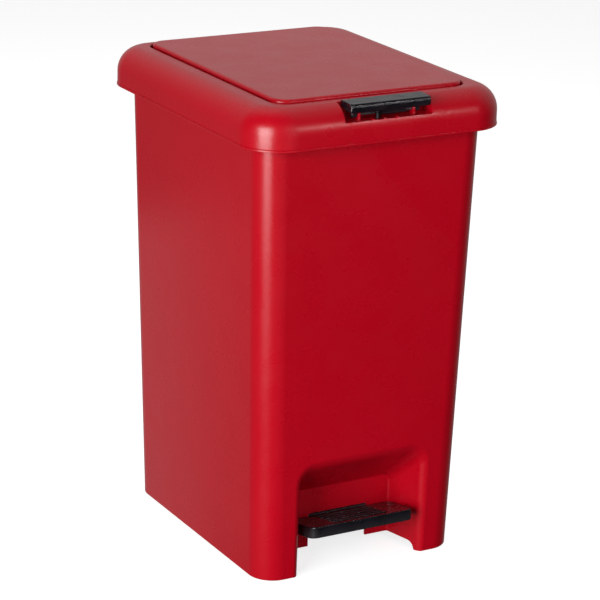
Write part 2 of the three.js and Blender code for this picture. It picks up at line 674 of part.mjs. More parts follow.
function makeBucket() {
  const slopeFoot = Math.max(recessBackTop, bucketFloor) + 9;
  const slopeTop = recessTop + 34;
  const lowFront = recessBackY + wall + 3.5;
  const corner = 20;
  const shellLevel = (z, front, inset) => (
    level(bucketHalfX(z) - inset, front + inset, bucketHalfY(z) - inset, corner - inset, z)
  );
  const shellRows = (inset, low, high) => [
    shellLevel(low, lowFront, inset),
    shellLevel(slopeFoot, lowFront, inset),
    shellLevel(slopeTop, -bucketHalfY(slopeTop), inset),
    shellLevel(high, -bucketHalfY(high), inset),
  ];
  const flangeUnder = bucketTop - 3;
  const flange = (z) => shellLevel(z, -bucketHalfY(z), -2);
  const outer = loft([...shellRows(0, bucketFloor, flangeUnder), flange(flangeUnder), flange(bucketTop)]);
  const groove = (grow) => (
    box(-grooveHalf - grow, grooveHalf + grow, grooveFront - grow, 2 * lidHalfY, 0, lidTop)
  );
  const inner = loft(shellRows(bucketWall, bucketFloor + bucketWall, bucketTop + 1))
    .subtract(groove(bucketWall));
  let bucket = outer.subtract(groove(0)).subtract(inner);
  const insideX = bucketHalfX(bucketTop) - bucketWall;
  const earRoot = { y: bailAxis.y, z: bucketTop - 8 };
  const earNear = insideX - bailEar + bucketWall;
  const ear = (side) => linkX(earRoot, bailAxis, 3.5, ...sideSpan(side, earNear, insideX + 0.5));
  bucket = bucket.add(bothSides(ear));
  return bucket.subtract(barX(boreRadius(bailRadius), -insideX - 0.1, insideX + 0.1, bailAxis));
}

function makeBucketHandle() {
  const insideX = bucketHalfX(bucketTop) - bucketWall;
  const pinEnd = insideX - 0.3;
  const legX = insideX - bailEar - bailRadius + bucketWall - 1;
  const front = -bucketHalfY(bucketTop);
  const points = [new THREE.Vector2(pinEnd, 0)];
  const bend = (x, y, radius, start, turn) => {
    for (let k = 0; k <= 5; k += 1) {
      const angle = rad(start + (turn * k) / 5);
      points.push(new THREE.Vector2(x + radius * Math.cos(angle), y + radius * Math.sin(angle)));
    }
  };
  const small = 3;
  const large = 26;
  bend(legX + small, -small, small, 90, 90);
  bend(legX - large, front + large, large, 0, -90);
  bend(large - legX, front + large, large, -90, -90);
  bend(-legX - small, -small, small, 0, 90);
  points.push(new THREE.Vector2(-pinEnd, 0));
  const spot = points.map((point) => point.add(new THREE.Vector2(0, bailAxis.y)));
  return bentWire(spot, bailRadius, bailAxis.z);
}

function makeBuffer(side) {
  const low = bodyHeight + touch;
  const high = bufferTop - touch;
  const rows = [[0, low], [3, low], [3.2, low + 1], [3.2, high - 1], [2.6, high], [0, high]];
  const profile = rows.map(([radius, z]) => new THREE.Vector2(radius, z));
  const geometry = new THREE.LatheGeometry(profile, pinSides);
  geometry.rotateX(Math.PI / 2);
  geometry.translate(side * bufferSpot.x, bufferSpot.y, 0);
  return geometryOf(solid(geometry));
}

// The assembly.
const part = new THREE.Group();

function addPiece(name, shape, material) {
  const geometry = shape instanceof THREE.BufferGeometry ? shape : geometryOf(shape);
  const mesh = new THREE.Mesh(geometry, material.clone());
  mesh.name = name;
  part.add(mesh);
}

const lidPinFar = lidLugs[1].far + 1.5;
const sides = [['right', 1], ['left', -1]];

addPiece('bin_body', makeBinBody(), redPlastic);
addPiece('lid_ring', makeLidRing(), redPlastic);
addPiece('lid_flap', makeLidFlap(), redPlastic);
addPiece('latch_button', makeLatch(), blackPlastic);
addPiece('latch_pin', barX(latchPinRadius, -latchPinHalf + 0.2, latchPinHalf - 0.2, latchPin), blackPlastic);
addPiece('latch_spring', makeLatchSpring(), steel);
for (const [name, side] of sides) {
  const lidSpan = sideSpan(side, lidLugs[0].near - 1.5, lidPinFar);
  const flapSpan = sideSpan(side, flapPinNear, flapPinFar - 0.2);
  addPiece(`lid_pin_${name}`, barX(lidPinRadius, ...lidSpan, lidAxis), steel);
  addPiece(`flap_pin_${name}`, barX(flapPinRadius, ...flapSpan, flapPin), steel);
  addPiece(`flap_spring_${name}`, makeFlapSpring(side), steel);
  addPiece(`pedal_bearing_${name}`, makePedalBearing(side), blackPlastic);
  addPiece(`lid_buffer_${name}`, makeBuffer(side), rubber);
}
addPiece('pedal_tread', makeTread(), blackPlastic);
addPiece('pedal_lever', makeLever(), blackPlastic);
addPiece('pedal_pin', barX(pedalPinRadius, -bearing.far - 2, bearing.far + 2, pedalPivot), steel);
addPiece('push_rod', makePushRod(), blackPlastic);
addPiece('cross_pin', barX(crossPinRadius, -forkPlate.far - 1.5, forkPlate.far + 1.5, crossPin), steel);
addPiece('lift_fork', makeLiftFork(), blackPlastic);
addPiece('rod_guide_lower', makeRodGuide(floorTop + 80), blackPlastic);
addPiece('rod_guide_upper', makeRodGuide(crossPinZ - 50), blackPlastic);
addPiece('rod_cover', makeRodCover(), redPlastic);
addPiece('inner_bucket', makeBucket(), bucketPlastic);
addPiece('bucket_handle', makeBucketHandle(), blackPlastic);

export default part;
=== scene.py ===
"""Household pedal bin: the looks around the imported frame. Metres, +Z up, front towards -Y."""
import math

import bmesh
import bpy
from mathutils import Matrix, Quaternion, Vector


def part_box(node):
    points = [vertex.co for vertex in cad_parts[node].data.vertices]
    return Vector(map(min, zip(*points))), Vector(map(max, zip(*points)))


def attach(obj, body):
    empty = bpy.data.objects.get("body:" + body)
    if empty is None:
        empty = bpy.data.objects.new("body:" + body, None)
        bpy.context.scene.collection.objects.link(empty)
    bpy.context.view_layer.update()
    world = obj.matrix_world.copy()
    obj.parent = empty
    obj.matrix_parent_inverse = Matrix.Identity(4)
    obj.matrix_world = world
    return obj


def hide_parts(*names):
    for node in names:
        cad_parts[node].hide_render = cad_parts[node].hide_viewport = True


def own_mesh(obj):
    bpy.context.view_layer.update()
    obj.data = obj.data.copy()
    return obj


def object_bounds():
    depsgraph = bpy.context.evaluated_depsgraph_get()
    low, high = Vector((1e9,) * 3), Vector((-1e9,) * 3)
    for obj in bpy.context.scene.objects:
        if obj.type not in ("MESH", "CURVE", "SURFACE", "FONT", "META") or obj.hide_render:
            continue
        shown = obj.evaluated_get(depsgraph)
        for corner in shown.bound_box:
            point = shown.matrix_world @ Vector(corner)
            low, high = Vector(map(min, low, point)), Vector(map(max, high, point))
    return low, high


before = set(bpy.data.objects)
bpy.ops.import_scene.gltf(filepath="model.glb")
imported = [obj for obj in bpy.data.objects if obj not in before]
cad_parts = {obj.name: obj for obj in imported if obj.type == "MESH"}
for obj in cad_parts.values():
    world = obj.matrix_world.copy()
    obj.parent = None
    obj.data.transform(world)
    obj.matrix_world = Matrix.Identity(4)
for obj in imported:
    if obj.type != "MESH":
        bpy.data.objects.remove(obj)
cad_low, cad_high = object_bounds()

MM = 0.001

# The body's shape, beside what the frame's boxes say.
CORNER = 26 * MM
SIDE_LEAN = 0.026
END_LEAN = 0.0184
WALL = 2.5 * MM
RIM_LIP = 4 * MM
RIM_ROOT_OUT = 0.3 * MM
RIM_ROOT_DROP = 1 * MM
FOOT_EDGE = 1.2 * MM
FLOOR_FILLET = 3 * MM
ROD_SLOT_HALF_X = 8 * MM
ROD_SLOT_HALF_Y = 3.5 * MM
FORK_NOTCH_HALF = 16 * MM
FORK_NOTCH_RISE = 3 * MM

# Foot opening.
RECESS_TOP = 116 * MM
RECESS_BACK_TOP = 74 * MM
RECESS_SPLAY = 10 * MM
RECESS_CORNER = 17 * MM
RECESS_BACK_CORNER = 9 * MM
LEAST_BACK_CORNER = 1 * MM
RECESS_EDGE = 7 * MM
RECESS_EDGE_DEPTH = 7.5 * MM
RECESS_BACK_FILLET = 3 * MM
FOOT_CUT = 8 * MM
FOOT_CUT_LENGTH = 30 * MM
NECK_HALF = 33 * MM
NECK_CORNER = 2 * MM
NECK_RISE = 1.5 * MM

# Lid ring.
SHOULDER = 25 * MM
LID_CORNER = 42 * MM
LEAST_LID_CORNER = 10 * MM
SKIRT_EDGE = 0.4 * MM
SKIRT_CHAMFER = 0.3 * MM
BEAD_HEIGHT = 2 * MM
BEAD_OUT = 0.6 * MM
BEAD_GROOVE = 0.3 * MM
WELL_CORNER = 19.7 * MM
WELL_EDGE = 1.5 * MM
WELL_DEPTH = 9.5 * MM
LEDGE_WIDTH = 4.7 * MM
LEDGE_ROOT = 0.6 * MM
LEDGE_CHAMFER = 0.5 * MM
REAR_LEDGE_CUT = 14 * MM
HUMP_HALF = 86 * MM
HUMP_OUT = 1.7 * MM
HUMP_CHAMFER = (0.5 * MM, 0.6 * MM)
HUMP_SLOPE = 2 * MM
HUMP_EDGE = 0.6 * MM
BOSS_RADIUS = 4.5 * MM
LUG_RADIUS = 4.3 * MM
BODY_LUG = (66 * MM, 72 * MM)
LID_LUGS = ((59.5 * MM, 64.5 * MM), (73.5 * MM, 78.5 * MM))

# Flap. The crown's rings are shares of the flap's outline.
FLAP_GAP = 2.5 * MM
FLAP_EDGE = 3 * MM
FLAP_CHAMFER = 0.3 * MM
FLAP_CROWN = 0.5 * MM
CROWN_RINGS = (0.97, 0.92, 0.85, 0.75, 0.6, 0.4, 0.2)
FLAP_EAR_RADIUS = 4 * MM
INNER_FLAP_EAR = (28 * MM, 25 * MM)

# Latch pocket.
LATCH_SIDE_GAP = 4.2 * MM
POCKET_FLOOR_DROP = 17 * MM
POCKET_WALL = 2 * MM
POCKET_CHAMFER = 2 * MM
POCKET_EAR = (29 * MM, 32 * MM)
POCKET_RIB_PLACES = (-18 * MM, -5 * MM, 9 * MM)
POCKET_RIB_WIDTH = 1.6 * MM
POCKET_RIB_HEIGHT = 1 * MM
POCKET_RIB_TO_PIN = 4 * MM
POCKET_DEPTH = 20.5 * MM

# Latch.
LATCH_REAR_GAP = 1.2 * MM
LATCH_EAR = (32.8 * MM, 36.8 * MM)
LATCH_EAR_RADIUS = 3 * MM
LATCH_EAR_ROOT = 2 * MM
LATCH_HUB = (-9 * MM, 22 * MM)
NOSE_RISE = 1.2 * MM
NOSE_DROP = 7.8 * MM
NOSE_EDGE = 1.6 * MM
NOSE_CORNER = 2.2 * MM
NOSE_DEPTH = 5 * MM
FACET_DEPTH = 0.65 * MM
FACET_FOOT = 3.6 * MM
FACET_HEAD = 1.8 * MM
PLATE_SET_IN = 3 * MM
PLATE_BEVEL = (0.8 * MM, 0.6 * MM)
PLATE_UNDER = (2.8 * MM, 0.9 * MM)
PLATE_ROUND = 0.5 * MM
PLATE_EDGE = 0.6 * MM
CHEEK_FROM_SIDE = (2.3 * MM, 0.3 * MM)
CHEEK_RISE = 0.6 * MM
CHEEK_ROUND = 0.8 * MM
HOOK_HALF = 9 * MM
HOOK_THICK = 2.4 * MM
HOOK_CHAMFER = 0.6 * MM
HOOK_ROOT = 0.5 * MM
HOOK_SET_IN = 0.2 * MM
HOOK_OVER_LEDGE = 1.9 * MM

# Pedal.
TREAD_UNDER_PIVOT = 1.9 * MM
TREAD_SLOPE = math.tan(math.radians(12))
TREAD_LIP = 12 * MM
TREAD_SKIN = 3 * MM
TREAD_CORNER = 8 * MM
TREAD_INNER_CORNER = 2 * MM
TREAD_EDGE = 1.2 * MM
TREAD_FOOT_CHAMFER = (0.4 * MM, 0.5 * MM)
HEEL_START = 0.3
HEEL_DROP = 5 * MM
HEEL_RISE = 1.5 * MM
RIB_COUNT = 5
RIB_PITCH = 8 * MM
RIB_HALF = 31 * MM
RIB_WIDTH = 2.4 * MM
RIB_CORNER = 1.1 * MM
RIB_STRAIGHT = 0.3 * MM
RIB_ROUND = 0.8 * MM

# Bucket and handle.
BUCKET_WALL = 2 * MM
BUCKET_DROP = 8 * MM
BUCKET_CORNER = 20 * MM
BUCKET_FOOT_ROUND = 2 * MM
BUCKET_SLOPE_FOOT = 9 * MM
BUCKET_SLOPE_TOP = 34 * MM
FLANGE_OUT = 2 * MM
FLANGE_HEIGHT = 3 * MM
FLANGE_EDGE = 0.6 * MM
BAIL_EAR_RADIUS = 3.5 * MM
BAIL_EAR_DROP = 8 * MM
BAIL_EAR_THICK = 3 * MM
BAIL_EAR_ROOT = 0.5 * MM
HANDLE_BEND = 3 * MM
HANDLE_BOW = 26 * MM

# Springs, pins and buffers.
WIRE_RADIUS = 0.5 * MM
PIN_CHAMFER = 0.4 * MM
BUFFER_FOOT_ROUND = 0.8 * MM
BUFFER_TOP_ROUND = 1.6 * MM
FRAME_EDGE = 0.5 * MM

# Radii and half lengths of bores.
PIN_BORE = 2.1 * MM
LATCH_BORE = 1.6 * MM
BAIL_BORE = 1.85 * MM
BODY_BORE_REACH = 100 * MM
LID_BORE_REACH = 80 * MM

# Clearances. A window's are beside the hook, below it and above it, and the ring's window ends under its top.
TOUCH = 0.3 * MM
GAP_BESIDE_TREAD = 1.5 * MM
GAP_BEHIND_TREAD = 2 * MM
GAP_BESIDE_NECK = 1 * MM
GAP_OVER_NECK = 0.8 * MM
GAP_BESIDE_BUCKET = 4 * MM
GAP_BEFORE_BUCKET = 3.5 * MM
GAP_BESIDE_COVER = 2.7 * MM
GAP_BEFORE_COVER = 3 * MM
GAP_BESIDE_HANDLE = 4 * MM
GAP_AT_PIN_END = 0.2 * MM
GAP_AT_BAIL_END = 0.1 * MM
BLIND_END = 0.2 * MM
FLAP_WINDOW = (1.5 * MM, 0.6 * MM, 0.8 * MM)
RING_WINDOW = (3 * MM, 1.5 * MM, 1.7 * MM)

# How far solids reach past the faces that they cut or join, a little or far into the open.
HAIR = 0.01 * MM
PAST = 1 * MM
INTO_OPEN = 10 * MM

# How finely round shapes are made.
CORNER_STEPS = 20
FILLET_STEPS = 8
PIN_SIDES = 48
COIL_STEPS = 24
TREAD_STEPS = 10
RIB_STEPS = 6

# Stage and world. A glow is its azimuth and elevation, where it starts and is full, and its strength.
FLOOR_HALF = 14.0
FLOOR_GREY = 0.5
FLOOR_GLOW = 0.77
FILL = 0.02
GLOWS = ((140, 34, 0.1, 0.95, 0.45), (-140, -35, 0.3, 1.0, 0.10))

# Lights, in metres and watts. The soft boxes aim at the middle of the object. The x of the low card's aim is
# counted from the body's side.
SOFT_BOXES = {
    "key_soft_box": {"azimuth": -60, "elevation": 8, "distance": 2.2, "size": (1.2, 1.6), "power": 63},
    "fill_soft_box": {"azimuth": 8, "elevation": 18, "distance": 2.6, "size": (1.6, 1.6), "power": 25,
                      "glossy": False},
    "top_soft_box": {"azimuth": 165, "elevation": 60, "distance": 2.0, "size": (1.4, 1.4), "power": 19,
                     "glossy": False},
    "bounce_card": {"azimuth": -15, "elevation": -6, "distance": 1.3, "size": (1.0, 0.3), "power": 1.2,
                    "glossy": False},
}
BAND_CARD = {"azimuth": 29, "elevation": 15, "distance": 0.8, "size": (0.16, 0.03), "power": 0.5}
LOW_CARD = {"azimuth": -152, "elevation": -25, "distance": 0.6, "size": (0.24, 0.45), "power": 0.1}
BAND_BELOW_POCKET = 4 * MM
LOW_CARD_AIM = (0.14, 0.05, 0.2)

# Camera: millimetres of lens and sensor, degrees, metres.
LENS = 152.3
SENSOR = 36
VIEW_AZIMUTH = -29.62
VIEW_ELEVATION = 18.20
VIEW_ROLL = 1.56
VIEW_DISTANCE = 2.5935
VIEW_OFFSET = Vector((-12.2, -27.4, 3.9)) * MM
FAR_CLIP = 50

# Places that follow from the frame.
body_low, body_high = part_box("bin_body")
lid_low, lid_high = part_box("lid_ring")
flap_low, flap_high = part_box("lid_flap")
latch_low, latch_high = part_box("latch_button")
tread_low, tread_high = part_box("pedal_tread")
rod_low, rod_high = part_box("push_rod")
bucket_low, bucket_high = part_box("inner_bucket")
cover_low, cover_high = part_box("rod_cover")


def middle(node):
    low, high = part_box(node)
    return (low + high) / 2


rim_z = body_high.z
lid_axis = middle("lid_pin_right")
flap_axis = middle("flap_pin_right")
latch_axis = middle("latch_pin")
cross_axis = middle("cross_pin")
rod_y = (rod_low.y + rod_high.y) / 2

lid_half_x = lid_high.x - BEAD_OUT
lid_half_y = -lid_low.y - BEAD_OUT
skirt_z = lid_low.z
lid_top = lid_high.z
well_half_x = flap_high.x + FLAP_GAP
well_front = flap_low.y - FLAP_GAP
well_rear = flap_high.y + FLAP_GAP
ledge_z = lid_top - WELL_DEPTH
pocket_half = latch_high.x + LATCH_SIDE_GAP
pocket_floor = lid_top - POCKET_FLOOR_DROP
pocket_back = -lid_half_y + POCKET_DEPTH
hook_low = ledge_z + HOOK_OVER_LEDGE
latch_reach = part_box("latch_pin")[1].x + GAP_AT_PIN_END

recess_back_half = tread_high.x + GAP_BESIDE_TREAD
recess_front_half = recess_back_half + RECESS_SPLAY
recess_back_y = tread_high.y + GAP_BEHIND_TREAD
tread_length = tread_high.y - tread_low.y
pedal_axis = middle("pedal_pin")
neck_top = pedal_axis.z - TREAD_UNDER_PIVOT + (pedal_axis.y - recess_back_y) * TREAD_SLOPE + NECK_RISE
neck_cut_top = neck_top + GAP_OVER_NECK
floor_top = bucket_low.z - TOUCH
floor_under = floor_top - WALL


def half_x(z):
    return body_high.x - RIM_LIP - SIDE_LEAN * (rim_z - z)


def half_y(z):
    return -body_low.y - RIM_LIP - END_LEAN * (rim_z - z)


# Mesh tools.
def make_object(name, mesh):
    piece = bpy.data.objects.new(name, mesh)
    bpy.context.scene.collection.objects.link(piece)
    return piece


def mesh_from(name, points, faces):
    """A closed mesh with its faces pointing out."""
    work = bmesh.new()
    corners = [work.verts.new(point) for point in points]
    for face in faces:
        work.faces.new([corners[k] for k in face])
    bmesh.ops.recalc_face_normals(work, faces=work.faces)
    if work.calc_volume(signed=True) < 0:
        bmesh.ops.reverse_faces(work, faces=work.faces)
    mesh = bpy.data.meshes.new(name)
    work.to_mesh(mesh)
    work.free()
    return mesh


def loft(name, rows, joined=False):
    """A skin over a row of outlines with equally many points, its ends closed or joined to each other."""
    count = len(rows[0])
    points = [point for row in rows for point in row]
    faces = []
    for row in range(len(rows) if joined else len(rows) - 1):
        below = row * count
        above = ((row + 1) % len(rows)) * count
        for k in range(count):
            after = (k + 1) % count
            faces.append((below + k, below + after, above + after, above + k))
    if not joined:
        faces.append(tuple(range(count)))
        faces.append(tuple(range(len(points) - count, len(points))))
    return make_object(name, mesh_from(name, points, faces))


def arc(x, y, radius, start, turn, steps):
    """Points on a round corner, in degrees."""
    points = []
    for k in range(steps + 1):
        angle = math.radians(start + turn * k / steps)
        points.append((x + radius * math.cos(angle), y + radius * math.sin(angle)))
    return points


def level(half, front, rear, radius, z, steps=CORNER_STEPS):
    """A level rounded rectangle, anticlockwise from above."""
    corners = ((half - radius, rear - radius, 0), (radius - half, rear - radius, 90),
               (radius - half, front + radius, 180), (half - radius, front + radius, 270))
    points = []
    for x, y, start in corners:
        points += [(px, py, z) for px, py in arc(x, y, radius, start, 90, steps)]
    return points


def prism_x(name, outline, x0, x1):
    """A side outline of (y, z) points, stretched from x0 to x1."""
    return loft(name, [[(x, y, z) for y, z in outline] for x in (x0, x1)])


def block(x0, x1, y0, y1, z0, z1):
    return prism_x("block", [(y0, z0), (y1, z0), (y1, z1), (y0, z1)], x0, x1)


def bar_x(name, radius, x0, x1, axis, chamfer=0.0):
    """A round bar along X, its ends chamfered where asked."""
    ends = ((x0, radius - chamfer), (x0 + chamfer, radius), (x1 - chamfer, radius), (x1, radius - chamfer))
    rows = []
    for x, ring in ends if chamfer else (ends[0], ends[3]):
        outline = arc(0, 0, ring, 0, 360 - 360 / PIN_SIDES, PIN_SIDES - 1)
        rows.append([(x, axis.y + y, axis.z + z) for y, z in outline])
    return loft(name, rows)


def link_outline(start, end, radius, steps=16):
    """The side outline of a bar with round ends between two (y, z) points."""
    angle = math.degrees(math.atan2(end[1] - start[1], end[0] - start[0]))
    return arc(*start, radius, angle + 90, 180, steps) + arc(*end, radius, angle - 90, 180, steps)


def rounded(points, radius, steps=5):
    """A closed outline with its corners rounded, as far as the sides between them allow."""
    outline = []
    for k, point in enumerate(points):
        here = Vector(point)
        before = Vector(points[k - 1]) - here
        after = Vector(points[(k + 1) % len(points)]) - here
        reach = min(radius, before.length * 0.45, after.length * 0.45)
        start = here + before.normalized() * reach
        end = here + after.normalized() * reach
        for n in range(steps + 1):
            t = n / steps
            outline.append(tuple(start * (1 - t) ** 2 + here * 2 * t * (1 - t) + end * t * t))
    return outline


def bake(piece):
    """Applies the piece's modifiers to its mesh."""
    graph = bpy.context.evaluated_depsgraph_get()
    old = piece.data
    piece.data = bpy.data.meshes.new_from_object(piece.evaluated_get(graph))
    piece.modifiers.clear()
    bpy.data.meshes.remove(old)


def combine(piece, other, operation):
    """Joins the other solid to the piece, cuts it away, or keeps what both hold. The other one is used up."""
    modifier = piece.modifiers.new("combine", "BOOLEAN")
    modifier.solver = "MANIFOLD"
    modifier.operation = operation
    modifier.object = other
    bake(piece)
    bpy.data.objects.remove(other)
    return piece


def cut(piece, *tools):
    for tool in tools:
        combine(piece, tool, "DIFFERENCE")
    return piece


def add(piece, *others):
    for other in others:
        combine(piece, other, "UNION")
    return piece


def keep_inside(piece, space):
    return combine(piece, space, "INTERSECT")


def prism_pair(name, outline, near, far):
    """The same side outline stretched from x = near to far, on both sides of the middle."""
    return prism_x(name, outline, near, far), prism_x(name, outline, -far, -near)


def bore(radius, reach, axis):
    """A cutter for a bore along X, as far as reach on both sides of the middle."""
    return bar_x("bore", radius, -reach, reach, axis)


def circle(x, y, radius, z):
    """A level circle of points."""
    return [(px, py, z) for px, py in arc(x, y, radius, 0, 350, 35)]


def duplicate(piece, name):
    return make_object(name, piece.data.copy())


def soften(piece, width, segments=3, angle=40):
    """Rounds the piece's hard edges."""
    modifier = piece.modifiers.new("soften", "BEVEL")
    modifier.width = width
    modifier.segments = segments
    modifier.limit_method = "ANGLE"
    modifier.angle_limit = math.radians(angle)
    modifier.miter_outer = "MITER_ARC"


def smooth(piece, angle=32):
    """Smooth shading that keeps flat faces flat and hard edges hard."""
    piece.data.shade_smooth()
    piece.data.set_sharp_from_angle(angle=math.radians(angle))
    modifier = piece.modifiers.new("normals", "WEIGHTED_NORMAL")
    modifier.keep_sharp = True


def settle(piece, material, slot, body, *nodes):
    """Finishes a piece: its modifiers, material and body, and the frame's nodes that it stands for. The slot
    is not used.
    """
    if piece.modifiers:
        bake(piece)
    smooth(piece)
    bake(piece)
    piece.data.materials.clear()
    piece.data.materials.append(material)
    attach(piece, body)
    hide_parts(*nodes)
    return piece


# Materials.
class Nodes:
    """A small writer of node trees."""

    def __init__(self, tree):
        self.tree = tree
        tree.nodes.clear()

    def add(self, kind, inputs=None, **settings):
        node = self.tree.nodes.new(kind)
        for name, value in settings.items():
            setattr(node, name, value)
        for name, value in (inputs or {}).items():
            socket = node.inputs[name]
            if isinstance(value, bpy.types.NodeSocket):
                self.tree.links.new(value, socket)
            else:
                socket.default_value = value
        return node


def new_material(name):
    material = bpy.data.materials.new(name)
    material.use_nodes = True
    nodes = Nodes(material.node_tree)
    place = nodes.add("ShaderNodeTexCoord").outputs["Object"]
    return material, nodes, place


def noise(nodes, place, size, detail=2.0, stretch=None):
    """Noise with features of the given size in metres, stretched along an axis where asked."""
    if stretch:
        place = nodes.add("ShaderNodeMapping", {"Vector": place, "Scale": stretch}).outputs["Vector"]
    texture = nodes.add("ShaderNodeTexNoise", {"Vector": place, "Scale": 1 / size, "Detail": detail})
    return texture.outputs["Fac"]


def spread(nodes, value, low, high, start=0.3, end=0.7):
    """The value's range from start to end mapped to low to high."""
    node = nodes.add("ShaderNodeMapRange", {"Value": value, "From Min": start, "From Max": end,
                                            "To Min": low, "To Max": high})
    return node.outputs["Result"]


def blend_colours(nodes, share, first, second):
    node = nodes.add("ShaderNodeMix", data_type="RGBA")
    nodes.tree.links.new(share, node.inputs[0])
    for socket, colour in ((node.inputs[6], first), (node.inputs[7], second)):
        if isinstance(colour, bpy.types.NodeSocket):
            nodes.tree.links.new(colour, socket)
        else:
            socket.default_value = (*colour, 1)
    return node.outputs[2]


def bumps(nodes, layers):
    """Bump layers of (height, strength, distance in metres), one on top of the other."""
    normal = None
    for height, strength, distance in layers:
        inputs = {"Height": height, "Strength": strength, "Distance": distance}
        if normal:
            inputs["Normal"] = normal
        normal = nodes.add("ShaderNodeBump", inputs).outputs["Normal"]
    return normal


def sharp_edge_mask(nodes, low=0.53, high=0.62):
    """A mask that is 1 on sharp outer edges."""
    pointiness = nodes.add("ShaderNodeNewGeometry").outputs["Pointiness"]
    return spread(nodes, pointiness, 0, 1, low, high)


def finish_material(nodes, colour, roughness, normal, **constants):
    shader = nodes.add("ShaderNodeBsdfPrincipled",
                       {"Base Color": colour, "Roughness": roughness, "Normal": normal})
    for name, value in constants.items():
        shader.inputs[name.replace("_", " ")].default_value = value
    nodes.add("ShaderNodeOutputMaterial", {"Surface": shader.outputs["BSDF"]})


def red_plastic():
    """Moulded polypropylene: deep red, satin, with faint flow clouds and a very fine grain."""
    material, nodes, place = new_material("red_polypropylene")
    clouds = noise(nodes, place, 0.09, 3)
    flecks = noise(nodes, place, 0.006, 4)
    colour = blend_colours(nodes, spread(nodes, clouds, 0, 1), (0.395, 0.0004, 0.008), (0.41, 0.0006, 0.009))
    colour = blend_colours(nodes, spread(nodes, flecks, 0, 0.02, 0.5, 0.8), colour, (0.45, 0.002, 0.012))
    smudges = noise(nodes, place, 0.035, 4)
    grain = noise(nodes, place, 0.0009, 2)
    ripple = noise(nodes, place, 0.055, 1)
    roughness = spread(nodes, smudges, 0.25, 0.31)
    normal = bumps(nodes, ((ripple, 0.04, 0.0010), (grain, 0.03, 0.00005)))
    finish_material(nodes, colour, roughness, normal, IOR=1.49)
    return material


def black_plastic():
    """Black moulded plastic, scuffed: fine scratches along X, and smoother edges painted brighter, partly as
    wear and partly as painted highlight.
    """
    material, nodes, place = new_material("black_moulded_plastic")
    clouds = noise(nodes, place, 0.012, 4)
    scratches = noise(nodes, place, 0.0025, 2, stretch=(0.08, 1, 1))
    edges = sharp_edge_mask(nodes)
    colour = blend_colours(nodes, spread(nodes, clouds, 0, 1), (0.004, 0.0035, 0.005), (0.008, 0.007, 0.010))
    colour = blend_colours(nodes, spread(nodes, scratches, 0, 0.2, 0.6, 0.75), colour, (0.02, 0.018, 0.021))
    # Wear and painted highlight: sharp edges are lighter, for rubbed plastic and for the highlights along the
    # ribs' edges.
    colour = blend_colours(nodes, edges, colour, (0.07, 0.062, 0.067))
    roughness = spread(nodes, clouds, 0.2, 0.34)
    normal = bumps(nodes, ((clouds, 0.1, 0.0004), (scratches, 0.05, 0.00006)))
    finish_material(nodes, colour, roughness, normal, IOR=1.52)
    return material


def gloss_black_plastic():
    """Polished black plastic of the push button, with light wear along its edges."""
    material, nodes, place = new_material("polished_black_plastic")
    clouds = noise(nodes, place, 0.005, 4, stretch=(0.35, 1, 1))
    edges = sharp_edge_mask(nodes, 0.55, 0.68)
    colour = blend_colours(nodes, spread(nodes, clouds, 0, 1), (0.004, 0.003, 0.005), (0.009, 0.006, 0.009))
    colour = blend_colours(nodes, edges, colour, (0.03, 0.026, 0.033))
    roughness = spread(nodes, clouds, 0.16, 0.34)
    normal = bumps(nodes, ((clouds, 0.25, 0.0005),))
    finish_material(nodes, colour, roughness, normal, IOR=1.52)
    return material


def bucket_plastic():
    """Recycled black plastic with drawn-out flow marks."""
    material, nodes, place = new_material("recycled_plastic")
    flow = noise(nodes, place, 0.02, 4, stretch=(1, 1, 0.25))
    grain = noise(nodes, place, 0.001, 2)
    colour = blend_colours(nodes, spread(nodes, flow, 0, 1), (0.014, 0.014, 0.016), (0.028, 0.028, 0.031))
    roughness = spread(nodes, flow, 0.42, 0.58)
    normal = bumps(nodes, ((flow, 0.1, 0.0008), (grain, 0.2, 0.00015)))
    finish_material(nodes, colour, roughness, normal, IOR=1.49)
    return material


def steel(name, bright, dull):
    """Drawn steel wire or pins, with fine lines round them and dull specks."""
    material, nodes, place = new_material(name)
    lines = noise(nodes, place, 0.0005, 2, stretch=(1, 0.2, 0.2))
    specks = noise(nodes, place, 0.002, 3)
    colour = blend_colours(nodes, spread(nodes, specks, 0, 1, 0.5, 0.7), bright, dull)
    roughness = spread(nodes, lines, 0.24, 0.4)
    normal = bumps(nodes, ((lines, 0.25, 0.00005),))
    finish_material(nodes, colour, roughness, normal, Metallic=1.0)
    return material


def rubber():
    """Matt black rubber, a little dusty."""
    material, nodes, place = new_material("buffer_rubber")
    dust = noise(nodes, place, 0.002, 4)
    colour = blend_colours(nodes, spread(nodes, dust, 0, 1), (0.016, 0.016, 0.016), (0.04, 0.039, 0.037))
    roughness = spread(nodes, dust, 0.7, 0.9)
    normal = bumps(nodes, ((dust, 0.3, 0.0002),))
    finish_material(nodes, colour, roughness, normal, IOR=1.5)
    return material


RED = red_plastic()
BLACK = black_plastic()
GLOSS_BLACK = gloss_black_plastic()
BUCKET = bucket_plastic()
STEEL = steel("drawn_steel", (0.62, 0.63, 0.65), (0.4, 0.39, 0.38))
# Painted shade: the springs' steel is dark so the latch's spring reads as shaded under the button's nose.
SPRING_STEEL = steel("dark_spring_steel", (0.07, 0.068, 0.072), (0.035, 0.034, 0.036))
RUBBER = rubber()


# The body.
def body_level(z, inset):
    return level(half_x(z) - inset, inset - half_y(z), half_y(z) - inset, CORNER - inset, z)


def arch(half, top, radius, y_at):
    """The outline of the foot opening, from below the floor up, as deep as y_at says at each height."""
    points = [(half, -INTO_OPEN)]
    points += arc(half - radius, top - radius, radius, 0, 90, CORNER_STEPS)
    points += arc(radius - half, top - radius, radius, 90, 90, CORNER_STEPS)
    points.append((-half, -INTO_OPEN))
    return [(x, y_at(z), z) for x, z in points]


